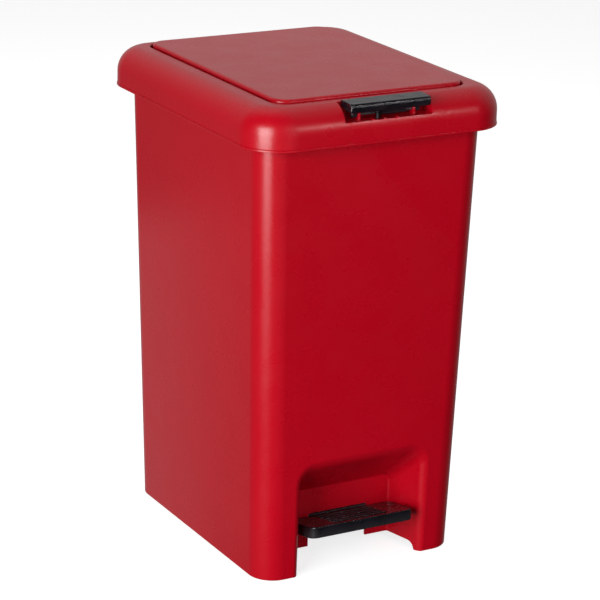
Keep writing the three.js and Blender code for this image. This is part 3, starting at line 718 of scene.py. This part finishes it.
def recess_space(grow):
    """The space of the foot opening with its rounded front edge, or with grow the outside of its walls."""
    before_wall = -half_y(RECESS_TOP) - INTO_OPEN
    wide = RECESS_EDGE + grow
    rows = [arch(recess_front_half + wide, RECESS_TOP + wide, RECESS_CORNER + wide, lambda z: before_wall)]
    for k in range(FILLET_STEPS + 1):
        turn = math.radians(90 * k / FILLET_STEPS)
        out = RECESS_EDGE * (1 - math.sin(turn)) + grow
        depth = RECESS_EDGE_DEPTH * (1 - math.cos(turn))
        share = depth / (recess_back_y + half_y(RECESS_TOP))
        half = recess_front_half - RECESS_SPLAY * share + out
        top = RECESS_TOP + (RECESS_BACK_TOP - RECESS_TOP) * share + out
        rows.append(arch(half, top, RECESS_CORNER + out, lambda z: depth - half_y(max(z, 0))))
    back = recess_back_y + grow
    fillet = RECESS_BACK_FILLET + grow
    for inset, depth in arc(fillet, fillet, fillet, 180, 90, FILLET_STEPS):
        half = recess_back_half + grow - inset
        top = RECESS_BACK_TOP + grow - inset
        corner = max(RECESS_BACK_CORNER + grow - inset, LEAST_BACK_CORNER)
        rows.append(arch(half, top, corner, lambda z: back - depth))
    return loft("recess", rows)


def make_body():
    """The shell with its rim, floor and hinge lugs, cut for the foot opening and the linkage."""
    under_rim = rim_z - WALL
    rows = []
    for inset, height in arc(FOOT_EDGE, FOOT_EDGE, FOOT_EDGE, 270, -90, 5):
        rows.append(body_level(height, inset))
    rows.append(body_level(under_rim - RIM_ROOT_DROP, 0))
    rows.append(body_level(under_rim, -RIM_ROOT_OUT))
    for out, height in arc(RIM_LIP - WALL / 2, rim_z - WALL / 2, WALL / 2, -90, 180, 8):
        rows.append(body_level(height, -out))
    body = loft("bin_shell", rows)

    inside_rows = []
    for inset, height in arc(WALL + FLOOR_FILLET, floor_top + FLOOR_FILLET, FLOOR_FILLET, 270, -90, 6):
        inside_rows.append(body_level(height, inset))
    inside_rows.append(body_level(rim_z + PAST, WALL))
    inside = cut(loft("inside", inside_rows), recess_space(WALL))
    under_rows = [body_level(-PAST, WALL), body_level(floor_under, WALL)]
    under = cut(loft("under", under_rows), recess_space(WALL))

    behind = recess_back_y + 2 * WALL
    foot_outline = [(behind, -PAST), (behind, FOOT_CUT)]
    foot_outline += arc(recess_back_y - FOOT_CUT_LENGTH, -PAST, FOOT_CUT + PAST, 90, 90, 14)
    foot_cut = prism_x("foot_cut", foot_outline, -recess_front_half - PAST, recess_front_half + PAST)
    neck_half = NECK_HALF + GAP_BESIDE_NECK
    neck_foot = -2 * PAST
    neck_outline = arc(neck_half - NECK_CORNER, neck_cut_top - NECK_CORNER, NECK_CORNER, 0, 90, 5)
    neck_outline += [(-x, z) for x, z in reversed(neck_outline)]
    neck_outline = [(neck_half, neck_foot)] + neck_outline + [(-neck_half, neck_foot)]
    neck_rows = [[(x, y, z) for x, z in neck_outline] for y in (recess_back_y - PAST, behind)]
    rod_slot = block(-ROD_SLOT_HALF_X, ROD_SLOT_HALF_X, rod_y - ROD_SLOT_HALF_Y, rod_y + ROD_SLOT_HALF_Y,
                     floor_under - PAST, floor_top + PAST)
    fork_notch = block(-FORK_NOTCH_HALF, FORK_NOTCH_HALF, half_y(0) - 2 * WALL, lid_axis.y,
                       cross_axis.z + FORK_NOTCH_RISE, rim_z + PAST)
    cut(body, inside, under, recess_space(0), foot_cut, loft("neck_cut", neck_rows), rod_slot, fork_notch)

    lug_root = (half_y(lid_axis.z) - WALL / 2, lid_axis.z)
    lug_outline = link_outline(lug_root, (lid_axis.y, lid_axis.z), LUG_RADIUS)
    for lug in prism_pair("lug", lug_outline, *BODY_LUG):
        spill = loft("spill", [body_level(floor_top, WALL), body_level(rim_z + PAST, WALL)])
        add(body, cut(lug, spill))
    cut(body, bore(PIN_BORE, BODY_BORE_REACH, lid_axis))
    return settle(body, RED, "red_plastic", "bin", "bin_body")


# The lid.
def lid_level(inset, z):
    radius = max(LID_CORNER - inset, LEAST_LID_CORNER)
    return level(lid_half_x - inset, inset - lid_half_y, lid_half_y - inset, radius, z)


def well_level(inset, z):
    return level(well_half_x - inset, well_front + inset, well_rear - inset, WELL_CORNER - inset, z)


def shoulder_rows(inset, steps=16):
    rows = []
    for out, height in arc(0, 0, SHOULDER - inset, 0, 90, steps):
        rows.append(lid_level(SHOULDER - out, lid_top - SHOULDER + height))
    return rows


def lid_skin():
    """The ring's shell as one closed loop of outlines: skirt, shoulder, well and ledge, and back inside."""
    bead_top = skirt_z + BEAD_HEIGHT
    rows = []
    for inset, height in arc(SKIRT_EDGE - BEAD_OUT, skirt_z + SKIRT_EDGE, SKIRT_EDGE, 270, -90, 4):
        rows.append(lid_level(inset, height))
    for inset, height in arc(SKIRT_EDGE - BEAD_OUT, bead_top - SKIRT_EDGE, SKIRT_EDGE, 180, -90, 4):
        rows.append(lid_level(inset, height))
    for inset, above in ((BEAD_GROOVE, 0.2 * MM), (BEAD_GROOVE, 0.5 * MM), (0, 1 * MM)):
        rows.append(lid_level(inset, bead_top + above))
    rows += shoulder_rows(0)
    for inset, height in arc(-WELL_EDGE, lid_top - WELL_EDGE, WELL_EDGE, 90, -90, 6):
        rows.append(well_level(inset, height))
    ledge_profile = ((0, ledge_z + LEDGE_ROOT), (LEDGE_ROOT, ledge_z),
                     (LEDGE_WIDTH - LEDGE_CHAMFER, ledge_z), (LEDGE_WIDTH, ledge_z - LEDGE_CHAMFER),
                     (LEDGE_WIDTH, ledge_z - WALL), (-WALL, ledge_z - WALL), (-WALL, lid_top - WALL))
    rows += [well_level(inset, height) for inset, height in ledge_profile]
    rows += reversed(shoulder_rows(WALL))
    rows.append(lid_level(WALL, skirt_z + SKIRT_CHAMFER))
    rows.append(lid_level(WALL - SKIRT_CHAMFER, skirt_z))
    return loft("lid_ring_shell", rows, joined=True)


def lid_filled():
    return loft("lid_filled", [lid_level(0, skirt_z)] + shoulder_rows(0))


def add_pocket(ring):
    """The latch's pocket in the ring, with its ears, floor ribs, bore and the window for the hook."""
    housing_half = pocket_half + POCKET_WALL
    housing = block(-housing_half, housing_half, -lid_half_y, pocket_back + POCKET_WALL,
                    pocket_floor - POCKET_WALL, lid_top)
    add(ring, keep_inside(housing, lid_filled()))
    before = -lid_half_y - INTO_OPEN
    above = lid_top + INTO_OPEN
    pocket_outline = [(before, pocket_floor), (pocket_back - POCKET_CHAMFER, pocket_floor),
                      (pocket_back, pocket_floor + POCKET_CHAMFER), (pocket_back, above), (before, above)]
    cut(ring, prism_x("pocket", pocket_outline, -pocket_half, pocket_half))

    ear_root = (latch_axis.y, pocket_floor - PAST)
    ear = link_outline(ear_root, (latch_axis.y, latch_axis.z), LATCH_EAR_RADIUS)
    add(ring, *prism_pair("latch_ear", ear, *POCKET_EAR))
    for x in POCKET_RIB_PLACES:
        rib = block(x, x + POCKET_RIB_WIDTH, -lid_half_y, latch_axis.y - POCKET_RIB_TO_PIN,
                    pocket_floor - PAST, pocket_floor + POCKET_RIB_HEIGHT)
        add(ring, keep_inside(rib, lid_filled()))
    cut(ring, bore(LATCH_BORE, latch_reach, latch_axis))
    beside, below, under_top = RING_WINDOW
    cut(ring, block(-HOOK_HALF - beside, HOOK_HALF + beside, pocket_back - PAST, well_front + PAST,
                    hook_low - below, lid_top - under_top))


def add_flap_seat(ring):
    """Opens the rear of the ledge, round the flap's hinge, and bores the holes for its pins."""
    rear = [well_level(HAIR, ledge_z - WALL - PAST), well_level(HAIR, ledge_z + HAIR)]
    behind = block(-lid_half_x, lid_half_x, flap_axis.y - REAR_LEDGE_CUT, lid_half_y, 0, lid_top)
    cut(ring, keep_inside(loft("rear_ledge", rear), behind))
    cut(ring, bore(PIN_BORE, well_half_x + WALL - BLIND_END, flap_axis))


def add_hinge(ring):
    """The lid's hinge lugs, and the flat hump on the skirt behind them."""
    lug_outline = link_outline((lid_half_y - WALL / 2, lid_axis.z), (lid_axis.y, lid_axis.z), LUG_RADIUS)
    for span in LID_LUGS:
        for lug in prism_pair("lug", lug_outline, *span):
            add(ring, keep_inside(lug, lid_filled()))
    cut(ring, bore(PIN_BORE, LID_BORE_REACH, lid_axis))

    root = lid_half_y - WALL / 2
    out = lid_half_y + HUMP_OUT
    chamfer_y, chamfer_z = HUMP_CHAMFER
    shoulder_foot = lid_top - SHOULDER
    hump_side = [(root, skirt_z), (out - chamfer_y, skirt_z), (out, skirt_z + chamfer_z),
                 (out, shoulder_foot - HUMP_SLOPE), (root, shoulder_foot + HUMP_SLOPE)]
    hump = prism_x("hump", hump_side, -HUMP_HALF, HUMP_HALF)
    soften(hump, HUMP_EDGE)
    bake(hump)
    add(ring, hump)


def add_bosses(ring):
    """Bosses under the lid's top that come down to the buffers."""
    buffer = middle("lid_buffer_right")
    buffer_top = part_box("lid_buffer_right")[1].z
    for side in (1, -1):
        rows = [circle(side * buffer.x, buffer.y, BOSS_RADIUS, z) for z in (buffer_top + TOUCH, lid_top)]
        add(ring, keep_inside(loft("boss", rows), lid_filled()))


def make_lid_ring():
    ring = lid_skin()
    add_pocket(ring)
    add_flap_seat(ring)
    add_hinge(ring)
    add_bosses(ring)
    return settle(ring, RED, "red_plastic", "lid", "lid_ring")


def make_flap():
    """The flap: a thin crowned panel with a deep rim, ears for its pins and a window for the hook."""
    bottom = flap_low.z
    top = flap_high.z
    rows = [well_level(FLAP_GAP + FLAP_CHAMFER, bottom), well_level(FLAP_GAP, bottom + FLAP_CHAMFER)]
    for inset, height in arc(FLAP_EDGE, top - FLAP_EDGE, FLAP_EDGE, 180, -90, 10):
        rows.append(well_level(FLAP_GAP + inset, height))
    rim = rows[-1]
    centre_y = (well_front + well_rear) / 2
    for share in CROWN_RINGS:
        rise = FLAP_CROWN * (1 - share) ** 2 * (1 + 2 * share)
        rows.append([(x * share, centre_y + (y - centre_y) * share, top + rise) for x, y, z in rim])
    solid = loft("flap_solid", rows)
    flap = duplicate(solid, "flap_panel")
    hollow_rows = [well_level(FLAP_GAP + WALL, z) for z in (bottom - PAST, top - WALL)]
    cut(flap, loft("flap_hollow", hollow_rows))

    side = well_half_x - FLAP_GAP
    inner_ear = [side - place for place in INNER_FLAP_EAR]
    ear_outline = link_outline((flap_axis.y, top - WALL), (flap_axis.y, flap_axis.z), FLAP_EAR_RADIUS)
    for span in (inner_ear, (side - WELL_CORNER / 2, side)):
        for ear in prism_pair("ear", ear_outline, *span):
            add(flap, keep_inside(ear, duplicate(solid, "limit")))
    bpy.data.objects.remove(solid)
    cut(flap, bore(PIN_BORE, well_half_x + WALL, flap_axis))
    beside, below, above = FLAP_WINDOW
    cut(flap, block(-HOOK_HALF - beside, HOOK_HALF + beside, well_front, well_front + FLAP_GAP + WALL + PAST,
                    hook_low - below, hook_low + HOOK_THICK + above))
    return settle(flap, RED, "red_plastic", "flap", "lid_flap")


# The latch.
def nose_level(y, inset, z_low, z_high):
    """The nose's outline seen from the front, its corners rounded."""
    right = latch_high.x - inset - NOSE_CORNER
    upper = z_high - inset - NOSE_CORNER
    lower = z_low + inset + NOSE_CORNER
    points = []
    for x, z, start in ((right, upper, 0), (-right, upper, 90), (-right, lower, 180), (right, lower, 270)):
        points += [(px, y, pz) for px, pz in arc(x, z, NOSE_CORNER, start, 90, 8)]
    return points


def make_latch():
    """The push button: a flat top, a glossy rounded nose, cheeks, ears, a middle hub and the hook."""
    front = latch_low.y
    half = latch_high.x
    top = latch_high.z
    rear = pocket_back - LATCH_REAR_GAP
    nose_top = lid_top + NOSE_RISE
    nose_under = lid_top - NOSE_DROP
    nose_rows = []
    for inset, depth in arc(NOSE_EDGE, NOSE_EDGE, NOSE_EDGE, 270, -90, 8):
        nose_rows.append(nose_level(front + depth, inset, nose_under, nose_top))
    nose_rows.append(nose_level(front + NOSE_DEPTH, 0, nose_under, nose_top))
    facet_y = front + FACET_DEPTH
    facet_rear = front + NOSE_DEPTH + PAST
    facet_outline = [(front, nose_under), (front, nose_top - FACET_FOOT), (facet_y, nose_top - FACET_HEAD),
                     (facet_y, nose_top), (facet_rear, nose_top), (facet_rear, nose_under)]
    latch = keep_inside(loft("latch_nose", nose_rows), prism_x("facet", facet_outline, -half, half))

    joint = front + PLATE_SET_IN
    bevel_y, bevel_z = PLATE_BEVEL
    under_front, under_rear = PLATE_UNDER
    plate_outline = rounded([(joint, nose_top), (rear - bevel_y, top), (rear, top - bevel_z),
                             (rear, lid_top - under_rear), (joint, lid_top - under_front)], PLATE_ROUND)
    plate = prism_x("latch_plate", plate_outline, -half, half)
    soften(plate, PLATE_EDGE)
    bake(plate)
    cheek_foot = nose_under + CHEEK_RISE
    cheek_rear = rear - bevel_y
    cheek = rounded([(joint, cheek_foot), (front + NOSE_DEPTH, cheek_foot),
                     (front + 13 * MM, lid_top - 6 * MM), (cheek_rear, lid_top - 3 * MM),
                     (cheek_rear, lid_top + 0.5 * MM), (joint, lid_top - 1 * MM)], CHEEK_ROUND)
    add(latch, plate, *prism_pair("cheek", cheek, *(half - place for place in CHEEK_FROM_SIDE)))

    ear_root = (latch_axis.y, lid_top - LATCH_EAR_ROOT)
    ear = link_outline(ear_root, (latch_axis.y, latch_axis.z), LATCH_EAR_RADIUS)
    add(latch, *prism_pair("ear", ear, *LATCH_EAR), prism_x("hub", ear, *LATCH_HUB))
    hook_front = latch_axis.y + LATCH_EAR_RADIUS
    hook_rear = rear - HOOK_SET_IN
    hook_root = lid_top - HOOK_ROOT
    hook_top = hook_low + HOOK_THICK
    tip = latch_high.y
    hook = [(hook_front, hook_root), (hook_front, hook_low), (tip - HOOK_CHAMFER, hook_low),
            (tip, hook_low + HOOK_CHAMFER), (tip, hook_top), (hook_rear, hook_top), (hook_rear, hook_root)]
    add(latch, prism_x("hook", hook, -HOOK_HALF, HOOK_HALF))
    cut(latch, bore(LATCH_BORE, latch_reach, latch_axis))
    return settle(latch, GLOSS_BLACK, "black_plastic", "latch", "latch_button")


# The pedal, drawn level with its front edge at y = 0.
def tread_level(inset, z):
    return level(tread_high.x - inset, inset, tread_length - inset, TREAD_CORNER - inset, z, TREAD_STEPS)


def rib_level(y, inset, z):
    return level(RIB_HALF - inset, y + inset, y + RIB_WIDTH - inset, RIB_CORNER - inset, z, RIB_STEPS)


def make_tread():
    """The foot plate: a shallow tray upside down with five ribs across it, sheared to the pedal's slope."""
    half = tread_high.x
    chamfer_out, chamfer_up = TREAD_FOOT_CHAMFER
    rows = [tread_level(chamfer_out, -TREAD_LIP), tread_level(0, chamfer_up - TREAD_LIP)]
    for inset, height in arc(TREAD_EDGE, -TREAD_EDGE, TREAD_EDGE, 180, -90, 6):
        rows.append(tread_level(inset, height))
    tread = loft("tread_plate", rows)
    hollow_rows = []
    for z in (-TREAD_LIP - PAST, -TREAD_SKIN):
        hollow_rows.append(level(half - TREAD_SKIN, TREAD_SKIN, tread_length + INTO_OPEN,
                                 TREAD_INNER_CORNER, z, RIB_STEPS))
    heel_foot = -TREAD_LIP - HEEL_DROP
    heel_outline = [(tread_length * HEEL_START, heel_foot), (tread_length + PAST, heel_foot),
                    (tread_length + PAST, -TREAD_SKIN - HEEL_RISE)]
    cut(tread, loft("tread_hollow", hollow_rows), prism_x("heel", heel_outline, -half - PAST, half + PAST))
    for k in range(RIB_COUNT):
        y = RIB_PITCH * (k + 1)
        rib_rows = [rib_level(y, 0, -PAST), rib_level(y, 0, RIB_STRAIGHT)]
        for inset, height in arc(RIB_ROUND, RIB_STRAIGHT, RIB_ROUND, 180, -90, 5):
            rib_rows.append(rib_level(y, inset, height))
        add(tread, loft("rib", rib_rows))
    shear = Matrix.Identity(4)
    shear[2][1] = -TREAD_SLOPE
    highest = max((shear @ vertex.co).z for vertex in tread.data.vertices)
    tread.data.transform(Matrix.Translation((0, tread_low.y, tread_high.z - highest)) @ shear)
    return settle(tread, BLACK, "black_plastic", "pedal", "pedal_tread")


# Pieces inside.
def make_bucket():
    """The lift-out bucket, its front drawn in over the foot opening, with a groove behind for the rod."""
    top = rim_z - BUCKET_DROP
    slope_foot = RECESS_BACK_TOP + BUCKET_SLOPE_FOOT
    slope_top = RECESS_TOP + BUCKET_SLOPE_TOP
    low_front = recess_back_y + WALL + GAP_BEFORE_BUCKET

    def half_width(z):
        return half_x(z) - WALL - GAP_BESIDE_BUCKET

    def half_depth(z):
        return half_y(z) - WALL - GAP_BESIDE_BUCKET

    def rows(inset, low, high):
        made = []
        foot = BUCKET_FOOT_ROUND
        for more, height in arc(foot, low + foot, foot, 270, -90, 5):
            made.append(level(half_width(low) - inset - more, low_front + inset + more,
                              half_depth(low) - inset - more, BUCKET_CORNER - inset - more, height))
        made.append(level(half_width(slope_foot) - inset, low_front + inset, half_depth(slope_foot) - inset,
                          BUCKET_CORNER - inset, slope_foot))
        for z in (slope_top, high):
            made.append(level(half_width(z) - inset, inset - half_depth(z), half_depth(z) - inset,
                              BUCKET_CORNER - inset, z))
        return made

    def flange(out, z):
        return level(half_width(top) + out, -half_depth(top) - out, half_depth(top) + out,
                     BUCKET_CORNER + out, z)

    groove_half = (cover_high.x - cover_low.x) / 2 + GAP_BESIDE_COVER
    groove_front = cover_low.y - GAP_BEFORE_COVER

    def groove(grow):
        return block(-groove_half - grow, groove_half + grow, groove_front - grow, 2 * lid_half_y, 0, lid_top)

    flange_low = top - FLANGE_HEIGHT
    edge_out = FLANGE_OUT - FLANGE_EDGE
    shell_rows = rows(0, bucket_low.z, flange_low)
    shell_rows += [flange(edge_out, flange_low), flange(FLANGE_OUT, flange_low + FLANGE_EDGE)]
    shell_rows += [flange(FLANGE_OUT, top - FLANGE_EDGE), flange(edge_out, top)]
    bucket = loft("bucket_shell", shell_rows)
    inner_rows = rows(BUCKET_WALL, bucket_low.z + BUCKET_WALL, top + PAST)
    inner = cut(loft("bucket_inside", inner_rows), groove(BUCKET_WALL))
    cut(bucket, groove(0), inner)
    inside = half_width(top) - BUCKET_WALL
    bail = Vector((0, 0, middle("bucket_handle").z))
    ear = link_outline((0, top - BAIL_EAR_DROP), (0, bail.z), BAIL_EAR_RADIUS)
    add(bucket, *prism_pair("ear", ear, inside - BAIL_EAR_THICK, inside + BAIL_EAR_ROOT))
    cut(bucket, bore(BAIL_BORE, inside + GAP_AT_BAIL_END, bail))
    return settle(bucket, BUCKET, "bucket_plastic", "bucket", "inner_bucket")


def wire(name, points, radius, material, slot, body, *nodes):
    """A round wire through the points, with closed ends."""
    curve = bpy.data.curves.new(name, "CURVE")
    curve.dimensions = "3D"
    curve.bevel_depth = radius
    curve.bevel_resolution = 6
    curve.use_fill_caps = True
    spline = curve.splines.new("POLY")
    spline.points.add(len(points) - 1)
    for spot, point in zip(spline.points, points):
        spot.co = (*point, 1)
    guide = bpy.data.objects.new(name + "_guide", curve)
    bpy.context.scene.collection.objects.link(guide)
    graph = bpy.context.evaluated_depsgraph_get()
    mesh = bpy.data.meshes.new_from_object(guide.evaluated_get(graph))
    bpy.data.objects.remove(guide)
    piece = make_object(name, mesh)
    return settle(piece, material, slot, body, *nodes)


def make_handle():
    """The bail lying on the bucket: an end in each ear, two legs to the front and the bow between them."""
    low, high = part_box("bucket_handle")
    radius = (high.z - low.z) / 2
    z = (low.z + high.z) / 2
    leg = bucket_high.x - FLANGE_OUT - BUCKET_WALL - GAP_BESIDE_HANDLE - radius
    front = low.y + radius
    outline = [(high.x, 0)]
    outline += arc(leg + HANDLE_BEND, -HANDLE_BEND, HANDLE_BEND, 90, 90, 8)
    outline += arc(leg - HANDLE_BOW, front + HANDLE_BOW, HANDLE_BOW, 0, -90, 16)
    points = [(x, y, z) for x, y in outline] + [(-x, y, z) for x, y in reversed(outline)]
    return wire("bail", points, radius, BLACK, "black_plastic", "handle", "bucket_handle")


def coil_points(low, high, along, turns):
    """A helix that fills the box, wound along one of its axes."""
    across = (along + 1) % 3
    other = (along + 2) % 3
    ring = (high[across] - low[across]) / 2 - WIRE_RADIUS
    start = low[along] + WIRE_RADIUS
    length = high[along] - low[along] - 2 * WIRE_RADIUS
    points = []
    for k in range(turns * COIL_STEPS + 1):
        turn = 2 * math.pi * k / COIL_STEPS
        point = (low + high) / 2
        point[along] = start + length * k / (turns * COIL_STEPS)
        point[across] += ring * math.cos(turn)
        point[other] += ring * math.sin(turn)
        points.append(point)
    return points


def make_springs():
    """The coil springs, each wound to fill its node's box. The latch's spring gets a mesh of its own."""
    coils = (("latch_spring", 2, 5), ("flap_spring_right", 0, 4), ("flap_spring_left", 0, 4))
    for node, along, turns in coils:
        low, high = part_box(node)
        points = coil_points(low, high, along, turns)
        coil = wire(node + "_coil", points, WIRE_RADIUS, SPRING_STEEL, "steel", "lid", node)
        if node == "latch_spring":
            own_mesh(coil)


def make_pins():
    """Round pins with chamfered ends, in place of the frame's many-sided ones."""
    bodies = {"lid_pin_right": "bin", "lid_pin_left": "bin", "pedal_pin": "bin", "cross_pin": "rod",
              "latch_pin": "lid", "flap_pin_right": "lid", "flap_pin_left": "lid"}
    for node, body in bodies.items():
        low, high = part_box(node)
        radius = (high.z - low.z) / 2
        pin = bar_x(node + "_turned", radius, low.x, high.x, (low + high) / 2, PIN_CHAMFER)
        material, slot = (BLACK, "black_plastic") if node == "latch_pin" else (STEEL, "steel")
        settle(pin, material, slot, body, node)


def make_buffers():
    """Rubber buffers with a rounded top."""
    for node in ("lid_buffer_right", "lid_buffer_left"):
        low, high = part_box(node)
        centre = (low + high) / 2
        radius = (high.x - low.x) / 2
        foot = BUFFER_FOOT_ROUND
        head = BUFFER_TOP_ROUND
        profile = arc(radius - foot, low.z + foot, foot, -90, 90, 5)
        profile += arc(radius - head, high.z - head, head, 0, 90, 8)
        rows = [circle(centre.x, centre.y, ring, z) for ring, z in profile]
        settle(loft(node + "_dome", rows), RUBBER, "rubber", "bin", node)


def dress_node(node, material):
    """A node of the frame that stays: its material, and its hard edges rounded."""
    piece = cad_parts[node]
    piece.data.materials.clear()
    piece.data.materials.append(material)
    weld = piece.modifiers.new("weld", "WELD")
    weld.merge_threshold = HAIR
    soften(piece, FRAME_EDGE, 2)
    normals = piece.modifiers.new("normals", "WEIGHTED_NORMAL")
    normals.keep_sharp = True


make_body()
make_lid_ring()
make_flap()
make_latch()
make_tread()
make_bucket()
make_handle()
make_springs()
make_pins()
make_buffers()
for name in ("pedal_lever", "pedal_bearing_right", "pedal_bearing_left", "push_rod", "lift_fork",
             "rod_guide_lower", "rod_guide_upper"):
    dress_node(name, BLACK)
dress_node("rod_cover", RED)


# The stage.
def make_floor():
    """A wide pale floor that reads as white. It adds no light to the object and isn't seen in its gloss."""
    corners = [(x * FLOOR_HALF, y * FLOOR_HALF, 0) for x, y in ((-1, -1), (1, -1), (1, 1), (-1, 1))]
    mesh = bpy.data.meshes.new("floor")
    mesh.from_pydata(corners, [], [(0, 1, 2, 3)])
    floor = make_object("floor", mesh)
    material = bpy.data.materials.new("pale_floor")
    material.use_nodes = True
    nodes = Nodes(material.node_tree)
    grey = (FLOOR_GREY, FLOOR_GREY, FLOOR_GREY, 1)
    shader = nodes.add("ShaderNodeBsdfPrincipled", {"Base Color": grey, "Roughness": 0.9,
                                                    "Specular IOR Level": 0.0, "Emission Color": (1, 1, 1, 1),
                                                    "Emission Strength": FLOOR_GLOW})
    nodes.add("ShaderNodeOutputMaterial", {"Surface": shader.outputs["BSDF"]})
    mesh.materials.append(material)
    floor.visible_glossy = False
    floor.visible_diffuse = False
    floor.visible_shadow = False


def direction(azimuth, elevation):
    """The unit vector from the object towards a place round it, as the views count angles."""
    a = math.radians(azimuth)
    e = math.radians(elevation)
    return Vector((math.sin(a) * math.cos(e), -math.cos(a) * math.cos(e), math.sin(e)))


def make_light(name, aim, azimuth, elevation, distance, size, power, glossy=True, diffuse=True):
    """A rectangular light that faces the aim, unseen by the camera and, where asked, by gloss or diffuse."""
    data = bpy.data.lights.new(name, "AREA")
    data.shape = "RECTANGLE"
    data.size, data.size_y = size
    data.energy = power
    lamp = bpy.data.objects.new(name, data)
    bpy.context.scene.collection.objects.link(lamp)
    towards = direction(azimuth, elevation)
    lamp.location = aim + towards * distance
    lamp.rotation_mode = "QUATERNION"
    lamp.rotation_quaternion = towards.to_track_quat("Z", "Y")
    lamp.visible_glossy = glossy
    lamp.visible_diffuse = diffuse
    lamp.visible_camera = False


def make_world():
    """A dim studio with a bright backdrop behind the object's right and a dim glow low behind its left."""
    world = bpy.data.worlds.new("studio")
    world.use_nodes = True
    nodes = Nodes(world.node_tree)
    place = nodes.add("ShaderNodeTexCoord").outputs["Generated"]
    total = FILL
    for azimuth, elevation, low, high, strength in GLOWS:
        towards = direction(azimuth, elevation)
        dot = nodes.add("ShaderNodeVectorMath", {0: place, 1: towards}, operation="DOT_PRODUCT")
        ramp = {"Value": dot.outputs["Value"], "From Min": low, "From Max": high, "To Min": 0.0,
                "To Max": strength}
        glow = nodes.add("ShaderNodeMapRange", ramp, interpolation_type="SMOOTHSTEP").outputs["Result"]
        total = nodes.add("ShaderNodeMath", {0: total, 1: glow}, operation="ADD").outputs["Value"]
    background = nodes.add("ShaderNodeBackground", {"Color": (1, 1, 1, 1), "Strength": total})
    nodes.add("ShaderNodeOutputWorld", {"Surface": background.outputs["Background"]})
    bpy.context.scene.world = world


def make_camera(centre):
    """The camera: where it stands, and how it is rolled."""
    data = bpy.data.cameras.new("camera")
    data.lens = LENS
    data.sensor_width = SENSOR
    data.clip_end = FAR_CLIP
    camera = bpy.data.objects.new("camera", data)
    bpy.context.scene.collection.objects.link(camera)
    back = direction(VIEW_AZIMUTH, VIEW_ELEVATION)
    camera.location = centre + VIEW_OFFSET + back * VIEW_DISTANCE
    camera.rotation_mode = "QUATERNION"
    roll = Quaternion((0, 0, 1), math.radians(VIEW_ROLL))
    camera.rotation_quaternion = back.to_track_quat("Z", "Y") @ roll
    bpy.context.scene.camera = camera


centre = (cad_low + cad_high) / 2
make_floor()
make_world()
for name, box in SOFT_BOXES.items():
    make_light(name, centre, **box)
band_aim = Vector((0, lid_low.y, pocket_floor - BAND_BELOW_POCKET))
make_light("band_card", band_aim, diffuse=False, **BAND_CARD)
aim_x, aim_y, aim_z = LOW_CARD_AIM
make_light("low_card", Vector((body_low.x + aim_x, aim_y, aim_z)), diffuse=False, **LOW_CARD)
make_camera(centre)
bpy.context.scene.view_settings.view_transform = "Standard"
